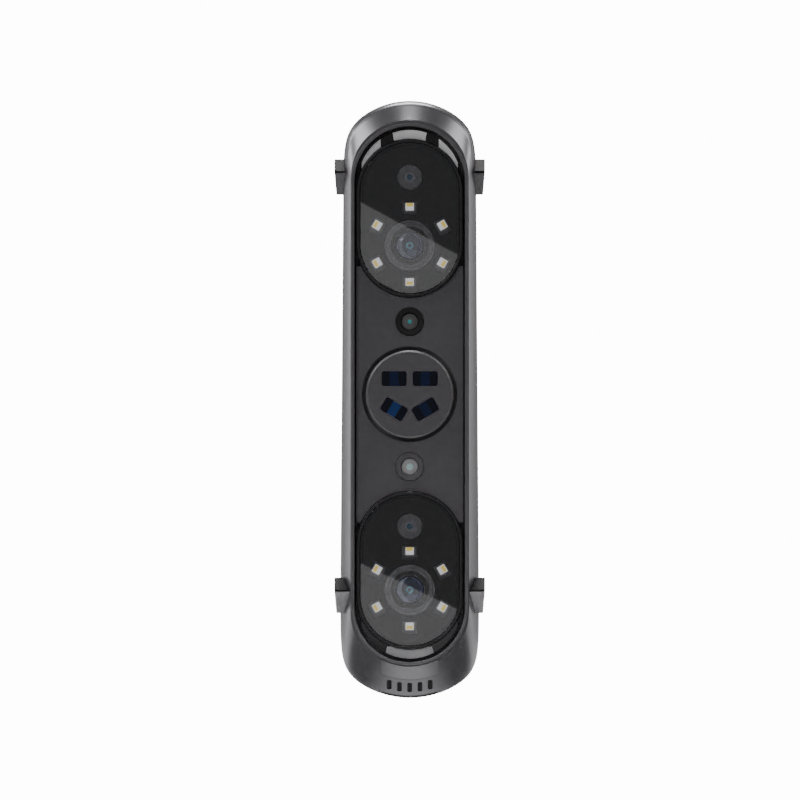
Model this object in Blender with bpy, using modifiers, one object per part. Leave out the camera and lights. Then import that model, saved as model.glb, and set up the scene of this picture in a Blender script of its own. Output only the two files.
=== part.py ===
"""Handheld stereo 3-D scanner, as an assembly of separate parts. Blender 4.5.

The scanner stands upright: +Z runs up its long axis, +X to its right as seen from the front, and
the face with the lenses looks along -Y. Sizes are in metres. Depths are measured backwards from
the lip round the face, and heights from the middle of the laser disc. One empty carries every
part, so that the finished scanner is centred on the world's origin.
"""

import math

import bmesh
import bpy
from mathutils import Matrix, Vector

MM = 0.001

# --- Body -------------------------------------------------------------------------------------
LENGTH = 280 * MM  # from the top of the head to the tip of the chin
DEPTH = 86 * MM  # from the lip to the back of the grip's rubber
HALF_W_TOP = 31.2 * MM  # half the width at the upper end arc
HALF_W_CHIN = 32.6 * MM
HEAD_R = 37.9 * MM  # reach of the head beyond the centre of its end arc
CHIN_R = 43 * MM
END_ROUNDING = 12  # power that rounds the corner between an end arc and a side
SPLIT_D = 28 * MM  # where the front housing meets the rear shell
WALL = 2.4 * MM
GAP = 0.3 * MM  # clearance between parts that touch
CUT = 2 * MM  # how far a cutter passes the face that it cuts

# --- Face -------------------------------------------------------------------------------------
LIP_R = 27.3 * MM
LIP_W = 1.4 * MM
LIP_T = 1.2 * MM
BEZEL_R = 26.2 * MM  # the bezel behind its lip, inside the housing
BEZEL_D = 7 * MM
LEDGE_R = 23.6 * MM
LEDGE_T = 1.4 * MM
MOUTH_D = 8 * MM  # depth at which the housing's thick front rim ends
CHAMFER_R = 35.4 * MM  # outer edge of the wide chamfer on the head
CHAMFER_D = 8 * MM
BAND_D = 20 * MM
CHIN_D = 22 * MM
FLANK_POWER = 1.7
TRIM_R = 24.2 * MM  # outer edge of the end trims
PANEL_HALF = 25.1 * MM  # half the panel's width
PANEL_D = 2.4 * MM
PANEL_T = 2.2 * MM
HORN_DROP = 10.3 * MM  # from a window's inner arc's centre to the panel's corner beside it

# --- Stereo windows ---------------------------------------------------------------------------
WINDOW_R = 24.7 * MM
WINDOW_LONG = 73.7 * MM
WINDOW_INSET = 4.95 * MM  # from the end arc of the face to the end arc of a window
WINDOW_D = 0.9 * MM
WINDOW_RIM = 1.3 * MM
GLASS_T = 1.5 * MM
RIM_T = 1.2 * MM
TRIM_D = 3 * MM
TRIM_T = 2 * MM
TRIM_HALF = 22.5 * MM
MASK_T = 0.8 * MM
BOARD_T = 1.6 * MM
LAMPS = 6
LAMP_ORBIT = 17.6 * MM
LAMP_POCKET = (7.4 * MM, 6.1 * MM)
LAMP_SIZE = 4 * MM
LAMP_T = 1 * MM
MAIN_R = 11.8 * MM
MAIN_LENS_R = 6.6 * MM
MAIN_LONG = 19 * MM
SIDE_R = 5.9 * MM
SIDE_LENS_R = 2.6 * MM
SIDE_LONG = 10 * MM
# For each window: which way it lies, then its lenses' offsets from its middle.
WINDOWS = {"upper": (1, -12.8 * MM, 19.2 * MM), "lower": (-1, -9.1 * MM, 20.7 * MM)}

# --- Texture camera, projector and lasers -----------------------------------------------------
EYE_R = 6.6 * MM
EYE_LENS_R = 3.8 * MM
EYE_D = 2 * MM
EYE_LONG = 14 * MM
LASER_WELL_R = 22.3 * MM
LASER_COVER_R = 20.6 * MM
LASER_FLANGE_R = 23.2 * MM
LASER_COVER_D = 1 * MM
LASER_COVER_T = 4 * MM
LASER_FLANGE_T = 1.2 * MM
LASER_BEVEL = 0.8 * MM
LASER_PANE = (11.3 * MM, 6.5 * MM)
PANE_CORNER = 1.2 * MM
PANE_T = 1.5 * MM
PANE_SINK = 0.4 * MM
LASER_X = 7.3 * MM
LASER_Z = (7.3 * MM, -7 * MM)
LASER_TILT = 30  # degrees; only the lower pair is tilted
LASER_R = 3.2 * MM
LASER_LONG = 14 * MM
LASER_BLOCK_R = 17 * MM

# --- Chin -------------------------------------------------------------------------------------
VENTS = 5
VENT_PITCH = 4.8 * MM
VENT_W = 2.2 * MM
VENT_LONG = 4.4 * MM
VENT_R = 35.6 * MM
INSERT_R = (27.9 * MM, 34.1 * MM)
INSERT_W = 27 * MM
INSERT_T = 1.6 * MM
PORT_W = 28.5 * MM
PORT_D = (16 * MM, 27 * MM)
PORT_DEEP = 9 * MM
PORT_WALL = 1.2 * MM
SOCKET_R = 3.6 * MM
SOCKET_LONG = 5 * MM

# --- Side lugs: a ridge towards the front, between a short upper and a long lower face --------
LUG_X = 35.3 * MM
LUG_UP = 6.1 * MM
LUG_DOWN = 10.6 * MM
LUG_DEEP = 12 * MM
LUG_EDGE = 0.8 * MM
# Height and depth of the ridge, and where the lug's inner end lies.
LUGS = {"upper": (104 * MM, 14 * MM, 27.4 * MM), "lower": (-92 * MM, 2.4 * MM, 26.8 * MM)}

# --- Rear shell and grip ----------------------------------------------------------------------
SHOULDER_D = 34 * MM
NECK_D = 60 * MM
GRIP_HALF_W = 18 * MM
GRIP_INSET = 19.55 * MM  # how far the grip's end arcs sit inside the body's
BACK_ROUND = 7 * MM
SLEEVE_T = 2 * MM
SLEEVE_Z = (-72 * MM, 38 * MM)
SLEEVE_D = 62 * MM
KEYPAD_R = 9.5 * MM
KEYPAD_Z = (54 * MM, 78 * MM)
KEYPAD_T = 2.9 * MM
KEYPAD_PROUD = 0.4 * MM
KEY_PROUD = 0.9 * MM
KEY_TRAVEL = 0.8 * MM
KEY_FLANGE = 0.8 * MM
KEY_FLANGE_T = 0.7 * MM
KEY_RUN = 0.35 * MM  # clearance round a key, so that it slides
SCAN_R = 5.6 * MM
SCAN_Z = 76 * MM
KEY_R = 2.4 * MM
KEY_ORBIT = 5.1 * MM
KEY_Z = 58.5 * MM
INSERT_NUT_R = 5.5 * MM
INSERT_BORE_R = 3.3 * MM
INSERT_NUT_LONG = 11 * MM
INSERT_BORE_LONG = 8.5 * MM
INSERT_NUT_D = 71 * MM
INSERT_PROUD = 1 * MM
REAR_VENTS = 5
REAR_VENT = (2 * MM, 14 * MM)
REAR_VENT_PITCH = 4.5 * MM
REAR_VENT_DROP = 12 * MM  # how far the rear vents sit below the chin arc's centre

# --- Inside -----------------------------------------------------------------------------------
CHASSIS_HALF_W = 26 * MM
CHASSIS_D = 26.6 * MM
CHASSIS_T = 2.5 * MM
FLANGE_T = 2 * MM
FLANGE_LONG = 16 * MM
FLANGE_DEEP = 9 * MM
MAIN_BOARD = (38 * MM, 132 * MM)
MAIN_BOARD_D = 33 * MM
FAN_DROP = 4 * MM  # how far the fan sits below the chin arc's centre
FAN_D = 35 * MM
FAN_SIDE = 30 * MM
FAN_T = 8 * MM
FAN_BORE_R = 13.6 * MM
FAN_HUB_R = 6.5 * MM
FAN_BLADES = 7
SCREW_Z = 60 * MM
SCREW_D = 33 * MM
SCREW_HEAD = (2.5 * MM, 1.1 * MM)
SCREW_SHANK_R = 1.2 * MM
SCREW_LONG = 8 * MM

# --- Facets -----------------------------------------------------------------------------------
END_SIDES = 18  # facets of one end arc of the body
ARC_SIDES = 12  # facets of one end arc of a window
ROUND_SIDES = 24
SMALL_SIDES = 12

END_Z = (LENGTH - HEAD_R - CHIN_R) / 2
SHELL_BACK_D = DEPTH - SLEEVE_T - GAP
WINDOW_OUTER_Z = END_Z - WINDOW_INSET
WINDOW_INNER_Z = WINDOW_OUTER_Z - (WINDOW_LONG - 2 * WINDOW_R)
WINDOW_Z = (WINDOW_OUTER_Z + WINDOW_INNER_Z) / 2
HORN_Z = WINDOW_INNER_Z - HORN_DROP
GLASS_R = WINDOW_R - WINDOW_RIM - GAP
GLASS_D = WINDOW_D + GAP
LEDGE_D = GLASS_D + GLASS_T + GAP
MASK_D = LEDGE_D + RIM_T + GAP
BOARD_D = MASK_D + MASK_T + LAMP_T / 2
MASK_R = GLASS_R - 2 * GAP
FAN_Z = -END_Z - FAN_DROP
GRIP_END_Z = END_Z - GRIP_INSET
EYE_Z = (LASER_WELL_R + WINDOW_INNER_Z - WINDOW_R) / 2
FACE_DOWN = Matrix.Rotation(math.radians(90), 4, "X")  # local Z to -Y, local Y to Z

for old in list(bpy.data.objects):
    bpy.data.objects.remove(old, do_unlink=True)
parts = bpy.data.collections.new("handheld_scanner")
cutters = bpy.data.collections.new("cutters")
cutters.hide_render = True
for group in (parts, cutters):
    bpy.context.scene.collection.children.link(group)
middle = bpy.data.objects.new("scanner_middle", None)
middle.location = (0, -DEPTH / 2, (CHIN_R - HEAD_R) / 2)
parts.objects.link(middle)


# --- Helpers ----------------------------------------------------------------------------------
def finish(name, colour, roughness, metallic=0.0, clear=0.0):
    """A Principled material."""
    made = bpy.data.materials.new(name)
    made.use_nodes = True
    shader = made.node_tree.nodes["Principled BSDF"]
    shader.inputs["Base Color"].default_value = (*colour, 1)
    shader.inputs["Roughness"].default_value = roughness
    shader.inputs["Metallic"].default_value = metallic
    shader.inputs["Transmission Weight"].default_value = clear
    return made


def place(name, mesh, material, place_at=None):
    """A part made of this mesh, carried by the scanner's middle."""
    made = bpy.data.objects.new(name, mesh)
    mesh.materials.append(material)
    parts.objects.link(made)
    made.parent = middle
    if place_at is not None:
        made.matrix_local = place_at
    return made


def as_cutter(tool):
    """Turns an object into a helper that is never built."""
    parts.objects.unlink(tool)
    cutters.objects.link(tool)
    tool.hide_render = True
    tool.display_type = "WIRE"
    return tool


def combine(target, tool, operation="DIFFERENCE"):
    """Cuts, joins or crops the target with a helper."""
    step = target.modifiers.new(operation.lower(), "BOOLEAN")
    step.operation = operation
    step.object = tool if tool.hide_render else as_cutter(tool)
    return target


def smooth(part, degrees=30):
    part.data.shade_smooth()
    part.data.set_sharp_from_angle(angle=math.radians(degrees))
    return part


def at(x=0.0, depth=0.0, z=0.0, turn=0.0):
    """A place on the face, with local Z pointing out of it, turned anticlockwise as seen there."""
    return Matrix.Translation((x, depth, z)) @ FACE_DOWN @ Matrix.Rotation(math.radians(turn), 4, "Z")


def arc(centre_z, radius, start, end, sides, centre_x=0.0):
    """Points (x, z) on an arc. Angles are in degrees, anticlockwise from +X."""
    turns = [math.radians(start + (end - start) * i / sides) for i in range(sides + 1)]
    return [(centre_x + radius * math.cos(a), centre_z + radius * math.sin(a)) for a in turns]


def stadium(radius, low_z, high_z, sides=ARC_SIDES):
    """Outline with straight sides between two half circles."""
    return arc(high_z, radius, 0, 180, sides) + arc(low_z, radius, 180, 360, sides)


def circle(radius, x=0.0, z=0.0, sides=ROUND_SIDES):
    return arc(z, radius, 0, 360 - 360 / sides, sides - 1, x)


def oblong(width, height, x=0.0, z=0.0, turn=0.0, corner=0.0):
    """A rectangle about (x, z) with its corners cut off."""
    a, b, c = width / 2, height / 2, corner
    if corner:
        flat = [(a, c - b), (a, b - c), (a - c, b), (c - a, b)]
    else:
        flat = [(a, -b), (a, b)]
    flat += [(-px, -pz) for px, pz in flat]
    cos, sin = math.cos(math.radians(turn)), math.sin(math.radians(turn))
    return [(x + px * cos - pz * sin, z + px * sin + pz * cos) for px, pz in flat]


def plate(name, outlines, front, back, material, spin=None):
    """A flat plate between two depths. The first outline is its edge, and the others are holes."""
    curve = bpy.data.curves.new(name, "CURVE")
    curve.dimensions = "2D"
    curve.fill_mode = "BOTH"
    curve.extrude = (back - front) / 2
    for outline in outlines:
        line = curve.splines.new("POLY")
        line.points.add(len(outline) - 1)
        line.use_cyclic_u = True
        for point, (x, z) in zip(line.points, outline):
            point.co = (x, z, 0, 1)
    source = bpy.data.objects.new(name, curve)
    bpy.context.scene.collection.objects.link(source)
    evaluated = source.evaluated_get(bpy.context.evaluated_depsgraph_get())
    mesh = bpy.data.meshes.new_from_object(evaluated)
    bpy.data.objects.remove(source)
    work = bmesh.new()
    work.from_mesh(mesh)
    bmesh.ops.remove_doubles(work, verts=work.verts, dist=0.001 * MM)
    bmesh.ops.recalc_face_normals(work, faces=work.faces)
    work.to_mesh(mesh)
    work.free()
    return place(name, mesh, material, spin or at(depth=(front + back) / 2))


def turned(name, profile, material, place_at, sides=ROUND_SIDES):
    """A turned part. The profile gives (radius, depth) from its front middle, round the outside,
    to its back middle, or a closed loop that starts down the outside."""
    mesh = bpy.data.meshes.new(name)
    loop = all(radius > 0 for radius, _ in profile)
    count = len(profile)
    edges = [(i, (i + 1) % count) for i in range(count if loop else count - 1)]
    mesh.from_pydata([(radius, 0, -depth) for radius, depth in profile], edges, [])
    made = place(name, mesh, material, place_at)
    screw = made.modifiers.new("turn", "SCREW")
    screw.steps = screw.render_steps = sides
    screw.use_merge_vertices = True
    screw.merge_threshold = 0.00001
    return made


def rod(name, radius, front, back, material, x=0.0, z=0.0, sides=ROUND_SIDES):
    """A plain cylinder between two depths."""
    return turned(name, [(0, front), (radius, front), (radius, back), (0, back)], material,
                  at(x, 0, z), sides)


def box(name, low, high, material):
    """A box between two corners."""
    work = bmesh.new()
    size = Vector(high) - Vector(low)
    centre = (Vector(high) + Vector(low)) / 2
    bmesh.ops.create_cube(work, size=1, matrix=Matrix.Diagonal((*size, 1)))
    mesh = bpy.data.meshes.new(name)
    work.to_mesh(mesh)
    work.free()
    return place(name, mesh, material, Matrix.Translation(centre))


def loft(name, rings, material, closed=False):
    """Skin over rings with equal numbers of points. The ends are capped, unless it closes on
    itself."""
    work = bmesh.new()
    loops = [[work.verts.new(point) for point in ring] for ring in rings]
    pairs = list(zip(loops, loops[1:] + loops[:1]))
    for near, far in pairs if closed else pairs[:-1]:
        for i in range(len(near)):
            j = (i + 1) % len(near)
            work.faces.new((near[i], near[j], far[j], far[i]))
    if not closed:
        work.faces.new(loops[0])
        work.faces.new(loops[-1])
    bmesh.ops.recalc_face_normals(work, faces=work.faces)
    mesh = bpy.data.meshes.new(name)
    work.to_mesh(mesh)
    work.free()
    return place(name, mesh, material)


def stadium_ring(name, profile, low_z, high_z, material, sides=ARC_SIDES):
    """A frame that follows a stadium. The profile is a closed loop of (radius, depth)."""
    rings = [[(x, depth, z) for x, z in stadium(radius, low_z, high_z, sides)]
             for radius, depth in profile]
    return loft(name, rings, material, closed=True)


# --- The body's surface -----------------------------------------------------------------------
def mix(a, b, share):
    return a + (b - a) * share


def ease(share):
    """0 to 1 with level ends."""
    share = min(max(share, 0), 1)
    return share * share * (3 - 2 * share)


def reach(half_w, end_r, turn):
    """Distance from an end arc's centre to the outline, at an angle from straight up."""
    if end_r <= half_w:
        return end_r
    p = END_ROUNDING
    side = abs(math.sin(turn)) ** p * (half_w ** -p - end_r ** -p)
    return (end_r ** -p + side) ** (-1 / p)


def body_ring(depth, top_w, chin_w, top_r, chin_r, top_z=END_Z, chin_z=-END_Z):
    """One section of the body: an end arc above, an end arc below, and straight sides."""
    ring = []
    for half_w, end_r, centre, way in ((top_w, top_r, top_z, 1), (chin_w, chin_r, chin_z, -1)):
        for i in range(END_SIDES + 1):
            turn = math.pi * (0.5 - i / END_SIDES)
            far = reach(half_w, end_r, turn)
            ring.append((way * far * math.sin(turn), depth, centre + way * far * math.cos(turn)))
    return ring


def front_section(depth, inset=0.0):
    """Half-widths and end reaches of the front housing at a depth."""
    flank = 1 - (1 - min(depth / SPLIT_D, 1)) ** FLANK_POWER
    if depth < CHAMFER_D:
        head = mix(LIP_R, CHAMFER_R, depth / CHAMFER_D)
    else:
        share = 1 - min((depth - CHAMFER_D) / (BAND_D - CHAMFER_D), 1)
        head = mix(CHAMFER_R, HEAD_R, math.sqrt(1 - share * share))
    chin = mix(LIP_R, CHIN_R, math.sin(math.pi / 2 * min(depth / CHIN_D, 1)))
    sizes = (mix(LIP_R, HALF_W_TOP, flank), mix(LIP_R, HALF_W_CHIN, flank), head, chin)
    return [size - inset for size in sizes]


def front_rings(depths, inset=0.0):
    return [body_ring(depth, *front_section(depth, inset)) for depth in depths]


def rear_rings(start, grow=0.0):
    """Sections of the rear shell, or of a surface a little outside or inside it, ending at the
    rounded back."""
    straight = SHELL_BACK_D - BACK_ROUND
    stops = [SPLIT_D, SHOULDER_D] + [mix(SHOULDER_D, NECK_D, i / 5) for i in range(1, 6)] + [straight]
    rings = []
    for depth in [start] + [stop for stop in stops if stop > start + GAP]:
        rings.append(rear_ring(depth, grow))
    for i in range(1, 4):
        turn = math.radians(90 * i / 3)
        bend = BACK_ROUND + grow
        rings.append(rear_ring(straight + bend * math.sin(turn), grow - bend * (1 - math.cos(turn))))
    return rings


def rear_ring(depth, grow):
    share = ease((depth - SHOULDER_D) / (NECK_D - SHOULDER_D))
    widths = [mix(size, GRIP_HALF_W, share) + grow for size in (HALF_W_TOP, HALF_W_CHIN, HEAD_R, CHIN_R)]
    end = mix(END_Z, GRIP_END_Z, share)
    return body_ring(depth, *widths, end, -end)


def cup(name, start, outside, inside, material):
    """A shell that follows the rear of the body, open at the front, between two offsets from it."""
    return loft(name, rear_rings(start, outside)[::-1] + rear_rings(start, inside), material)


def half_width(z):
    """Half the body's full width at a height between its end arcs."""
    return mix(HALF_W_CHIN, HALF_W_TOP, (z + END_Z) / (2 * END_Z))


# --- Materials --------------------------------------------------------------------------------
gunmetal = finish("satin_gunmetal", (0.16, 0.16, 0.17), 0.35, 0.7)
bezel_grey = finish("bezel_grey", (0.045, 0.045, 0.05), 0.4)
panel_grey = finish("panel_grey", (0.055, 0.052, 0.058), 0.5)
gloss_black = finish("gloss_black", (0.012, 0.012, 0.013), 0.12)
matte_black = finish("matte_black", (0.015, 0.015, 0.016), 0.6)
window_tint = finish("window_glass", (0.3, 0.3, 0.32), 0.05, clear=0.9)
lens_blue = finish("lens_coating", (0.2, 0.24, 0.38), 0.05)
laser_tint = finish("laser_glass", (0.01, 0.03, 0.09), 0.05)
light_grey = finish("light_grey", (0.25, 0.25, 0.26), 0.45)
lamp_white = finish("lamp_board", (0.75, 0.73, 0.6), 0.5)
alloy = finish("machined_aluminium", (0.6, 0.6, 0.62), 0.35, 1.0)
board_green = finish("circuit_board", (0.02, 0.1, 0.05), 0.5)
rubber = finish("grip_rubber", (0.02, 0.02, 0.021), 0.85)
key_grey = finish("key_grey", (0.1, 0.1, 0.105), 0.5)
key_blue = finish("key_blue", (0.03, 0.14, 0.35), 0.4)
steel = finish("screw_steel", (0.35, 0.35, 0.36), 0.3, 1.0)
brass = finish("insert_brass", (0.55, 0.4, 0.16), 0.3, 1.0)


# --- Front housing, bezel and panel -----------------------------------------------------------
def make_front_housing():
    rim = LIP_T + GAP
    depths = [rim, 4 * MM, CHAMFER_D, 10 * MM, 13 * MM, 17 * MM, CHIN_D, SPLIT_D]
    outer = front_rings(depths)
    mouth = [body_ring(depth, *[BEZEL_R + GAP] * 4) for depth in (MOUTH_D, rim)]
    inner = [body_ring(depth, *front_section(depth, WALL)) for depth in reversed(depths[3:])]
    return loft("front_housing", outer + inner + mouth, gunmetal, closed=True)


def body_core(name, inset):
    """A solid that lies a little inside the front housing's outer surface, to shape what is let
    into it."""
    depths = [0, 2 * MM, 4 * MM, 6 * MM, CHAMFER_D, 11 * MM, 14 * MM, 18 * MM, CHIN_D, SPLIT_D + CUT]
    return loft(name, front_rings(depths, inset), gunmetal)


def chin_sector(name, low_r, high_r, width, front, back):
    """A block between two arcs about the chin's centre."""
    low = [point for point in arc(-END_Z, high_r, 180, 360, END_SIDES) if abs(point[0]) < width / 2]
    drop = math.sqrt(high_r ** 2 - width ** 2 / 4)
    rise = math.sqrt(low_r ** 2 - width ** 2 / 4)
    high = [point for point in arc(-END_Z, low_r, 360, 180, END_SIDES) if abs(point[0]) < width / 2]
    outline = ([(-width / 2, -END_Z - drop)] + low + [(width / 2, -END_Z - drop)]
               + [(width / 2, -END_Z - rise)] + high + [(-width / 2, -END_Z - rise)])
    return plate(name, [outline], front, back, gunmetal)


housing = make_front_housing()

insert_floor = as_cutter(body_core("insert_floor", INSERT_T))
pocket_floor = as_cutter(body_core("pocket_floor", INSERT_T + GAP))
insert_skin = as_cutter(body_core("insert_skin", 0))
pocket = chin_sector("insert_pocket", INSERT_R[0] - GAP, INSERT_R[1] + GAP, INSERT_W + 2 * GAP,
                     -CUT, CHIN_D)
combine(pocket, pocket_floor)
combine(housing, pocket)
insert = chin_sector("chin_insert", *INSERT_R, INSERT_W, 0, CHIN_D)
insert.data.materials[0] = light_grey
combine(insert, insert_skin, "INTERSECT")
combine(insert, insert_floor)

for i in range(VENTS):
    x = (i - (VENTS - 1) / 2) * VENT_PITCH
    high = -END_Z - math.sqrt(VENT_R ** 2 - x * x)
    slot = plate("chin_vent", [oblong(VENT_W, VENT_LONG, x, high - VENT_LONG / 2, corner=0.6 * MM)],
                 CHAMFER_D / 2, CHIN_D + CUT, matte_black)
    combine(housing, slot)

bezel_loop = [
    (LIP_R, 0), (LIP_R, LIP_T), (BEZEL_R, LIP_T), (BEZEL_R, BEZEL_D), (LEDGE_R, BEZEL_D),
    (LEDGE_R, BEZEL_D - LEDGE_T), (LIP_R - LIP_W - 0.6 * MM, BEZEL_D - LEDGE_T),
    (LIP_R - LIP_W, LIP_T), (LIP_R - LIP_W, 0),
]
stadium_ring("front_bezel", bezel_loop, -END_Z, END_Z, bezel_grey, END_SIDES)

horn_r = WINDOW_R + GAP
horn_turn = math.degrees(math.asin(HORN_DROP / horn_r))
top_edge = arc(WINDOW_INNER_Z, horn_r, 360 - horn_turn, 180 + horn_turn, ARC_SIDES)
panel_edge = [(PANEL_HALF, -HORN_Z), (PANEL_HALF, HORN_Z)] + top_edge
panel_edge += [(-PANEL_HALF, HORN_Z), (-PANEL_HALF, -HORN_Z)]
panel_edge += [(-x, -z) for x, z in top_edge]
panel_holes = [circle(LASER_WELL_R, sides=2 * ROUND_SIDES)]
panel_holes += [circle(EYE_R + GAP, z=way * EYE_Z) for way in (1, -1)]
plate("front_panel", [panel_edge, *panel_holes], PANEL_D, PANEL_D + PANEL_T, panel_grey)


# --- Windows ----------------------------------------------------------------------------------
def lamp_turns():
    return [90 + 360 * i / LAMPS for i in range(LAMPS)]


def around(orbit, turn, centre_z):
    return orbit * math.cos(math.radians(turn)), centre_z + orbit * math.sin(math.radians(turn))


def make_window(side, way, main_offset, side_offset):
    ends = sorted((way * WINDOW_INNER_Z, way * WINDOW_OUTER_Z))
    main_z = way * WINDOW_Z + main_offset
    side_z = way * WINDOW_Z + side_offset
    rim_r = WINDOW_R - WINDOW_RIM
    rim_back = LEDGE_D + RIM_T
    ledge_r = rim_r - 1.6 * MM
    loop = [(WINDOW_R, WINDOW_D), (WINDOW_R, rim_back), (ledge_r, rim_back), (ledge_r, LEDGE_D),
            (rim_r, LEDGE_D), (rim_r, WINDOW_D)]
    stadium_ring(f"{side}_window_bezel", loop, *ends, gloss_black)
    plate(f"{side}_window_glass", [stadium(GLASS_R, *ends)], GLASS_D, GLASS_D + GLASS_T, window_tint)

    trim_r = WINDOW_R + GAP
    half_turn = math.degrees(math.asin(TRIM_HALF / TRIM_R))
    inner_turn = math.degrees(math.asin(TRIM_HALF / trim_r))
    outline = arc(END_Z, TRIM_R, 90 - half_turn, 90 + half_turn, END_SIDES)
    outline += arc(WINDOW_OUTER_Z, trim_r, 90 + inner_turn, 90 - inner_turn, ARC_SIDES)
    trim = [(x * way, z * way) for x, z in outline]
    plate(f"{side}_end_trim", [trim], TRIM_D, TRIM_D + TRIM_T, gloss_black)

    lens_holes = [circle(MAIN_R + GAP, z=main_z), circle(SIDE_R + GAP, z=side_z, sides=SMALL_SIDES)]
    pockets = [oblong(*LAMP_POCKET, *around(LAMP_ORBIT, turn, main_z), turn - 90, 0.8 * MM)
               for turn in lamp_turns()]
    plate(f"{side}_lamp_mask", [stadium(MASK_R, *ends), *lens_holes, *pockets],
          MASK_D, MASK_D + MASK_T, matte_black)
    board = plate(f"{side}_lamp_board", [stadium(ledge_r, *ends), *lens_holes],
                  BOARD_D + GAP, BOARD_D + GAP + BOARD_T, lamp_white)
    for turn in lamp_turns():
        x, z = around(LAMP_ORBIT, turn, main_z)
        lamp = plate("lamp", [oblong(LAMP_SIZE, LAMP_SIZE, x, z, turn - 90)],
                     BOARD_D + GAP - LAMP_T, BOARD_D + GAP + BOARD_T / 2, lamp_white)
        combine(board, lamp, "UNION")

    make_lens(f"{side}_main", MAIN_R, MAIN_LENS_R, LEDGE_D, MAIN_LONG, main_z)
    make_lens(f"{side}_side", SIDE_R, SIDE_LENS_R, LEDGE_D, SIDE_LONG, side_z, SMALL_SIDES)


def make_lens(name, radius, lens_r, front, long, z, sides=ROUND_SIDES, material=None):
    """A barrel with a stepped throat, and the lens that sits in it."""
    step = (radius - lens_r) / 3
    seat = front + 3 * MM
    loop = [(radius, front), (radius, front + long), (0, front + long), (0, seat + 2.2 * MM)]
    loop += [(lens_r + GAP, seat + 2.2 * MM), (lens_r + GAP, seat), (lens_r + step, seat - 1 * MM),
             (lens_r + 2 * step, front + 0.6 * MM), (radius - 0.6 * MM, front)]
    barrel = turned(f"{name}_lens_barrel", loop[3:] + loop[:3], material or matte_black, at(z=z), sides)
    dome = [(0, seat - 0.3 * MM), (lens_r * 0.45, seat - 0.1 * MM), (lens_r * 0.8, seat + 0.3 * MM),
            (lens_r, seat + 0.8 * MM), (lens_r, seat + 1.9 * MM), (0, seat + 1.9 * MM)]
    smooth(turned(f"{name}_lens", dome, lens_blue, at(z=z), sides))
    return barrel


for side, layout in WINDOWS.items():
    make_window(side, *layout)

for name, way in (("texture_camera", 1), ("projector", -1)):
    make_lens(name, EYE_R, EYE_LENS_R, EYE_D, EYE_LONG, way * EYE_Z, material=bezel_grey)


# --- Lasers -----------------------------------------------------------------------------------
def laser_places():
    for row, z in (("upper", LASER_Z[0]), ("lower", LASER_Z[1])):
        for hand, way in (("left", -1), ("right", 1)):
            tilt = way * LASER_TILT if row == "lower" else 0
            yield f"{row}_{hand}", way * LASER_X, z, tilt


cover_back = LASER_COVER_D + LASER_COVER_T
cover_profile = [
    (0, LASER_COVER_D), (LASER_COVER_R - LASER_BEVEL, LASER_COVER_D),
    (LASER_COVER_R, LASER_COVER_D + LASER_BEVEL), (LASER_COVER_R, cover_back),
    (LASER_FLANGE_R, cover_back), (LASER_FLANGE_R, cover_back + LASER_FLANGE_T),
    (0, cover_back + LASER_FLANGE_T),
]
laser_cover = turned("laser_cover", cover_profile, panel_grey, at(), 2 * ROUND_SIDES)
block_d = cover_back + LASER_FLANGE_T + GAP
laser_block = rod("laser_block", LASER_BLOCK_R, block_d, block_d + LASER_LONG + WALL, alloy)
for name, x, z, tilt in laser_places():
    pane_d = LASER_COVER_D + PANE_SINK
    hole = oblong(LASER_PANE[0] + 2 * GAP, LASER_PANE[1] + 2 * GAP, x, z, tilt, PANE_CORNER)
    combine(laser_cover, plate("laser_hole", [hole], -CUT, block_d, matte_black))
    pane = oblong(*LASER_PANE, x, z, tilt, PANE_CORNER)
    plate(f"{name}_laser_window", [pane], pane_d, pane_d + PANE_T, laser_tint)
    bore = rod("laser_bore", LASER_R + GAP, 0, block_d + LASER_LONG, alloy, x, z, SMALL_SIDES)
    combine(laser_block, bore)
    rod(f"{name}_laser_module", LASER_R, pane_d + PANE_T + GAP, block_d + LASER_LONG - GAP, brass,
        x, z, SMALL_SIDES)


# --- Cable port in the chin -------------------------------------------------------------------
def make_port():
    """A cup let into the underside of the chin, with the socket standing in it."""
    bottom = -END_Z - CHIN_R
    ceiling = bottom + PORT_DEEP
    half = PORT_W / 2
    notch = box("port_notch", (-half, PORT_D[0], bottom - CUT), (half, PORT_D[1], ceiling), matte_black)
    combine(housing, notch)
    cup = box("port_cup", (GAP - half, PORT_D[0] + GAP, bottom - CUT),
              (half - GAP, PORT_D[1] - GAP, ceiling - GAP), matte_black)
    combine(cup, as_cutter(body_core("port_skin", GAP)), "INTERSECT")
    hollow_w = half - GAP - PORT_WALL
    front, back = PORT_D[0] + GAP + PORT_WALL, PORT_D[1] - GAP - PORT_WALL
    hollow = box("port_hollow", (-hollow_w, front, bottom - 2 * CUT),
                 (hollow_w, back, ceiling - GAP - PORT_WALL), matte_black)
    combine(cup, hollow)
    seat = Matrix.Translation((0, (front + back) / 2, ceiling - 2 * GAP - PORT_WALL))
    profile = [(0, 0), (SOCKET_R, 0), (SOCKET_R, SOCKET_LONG), (SOCKET_R - 0.8 * MM, SOCKET_LONG),
               (SOCKET_R - 0.8 * MM, 1 * MM), (0, 1 * MM)]
    turned("cable_socket", profile, steel, seat, SMALL_SIDES)


make_port()


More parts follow.
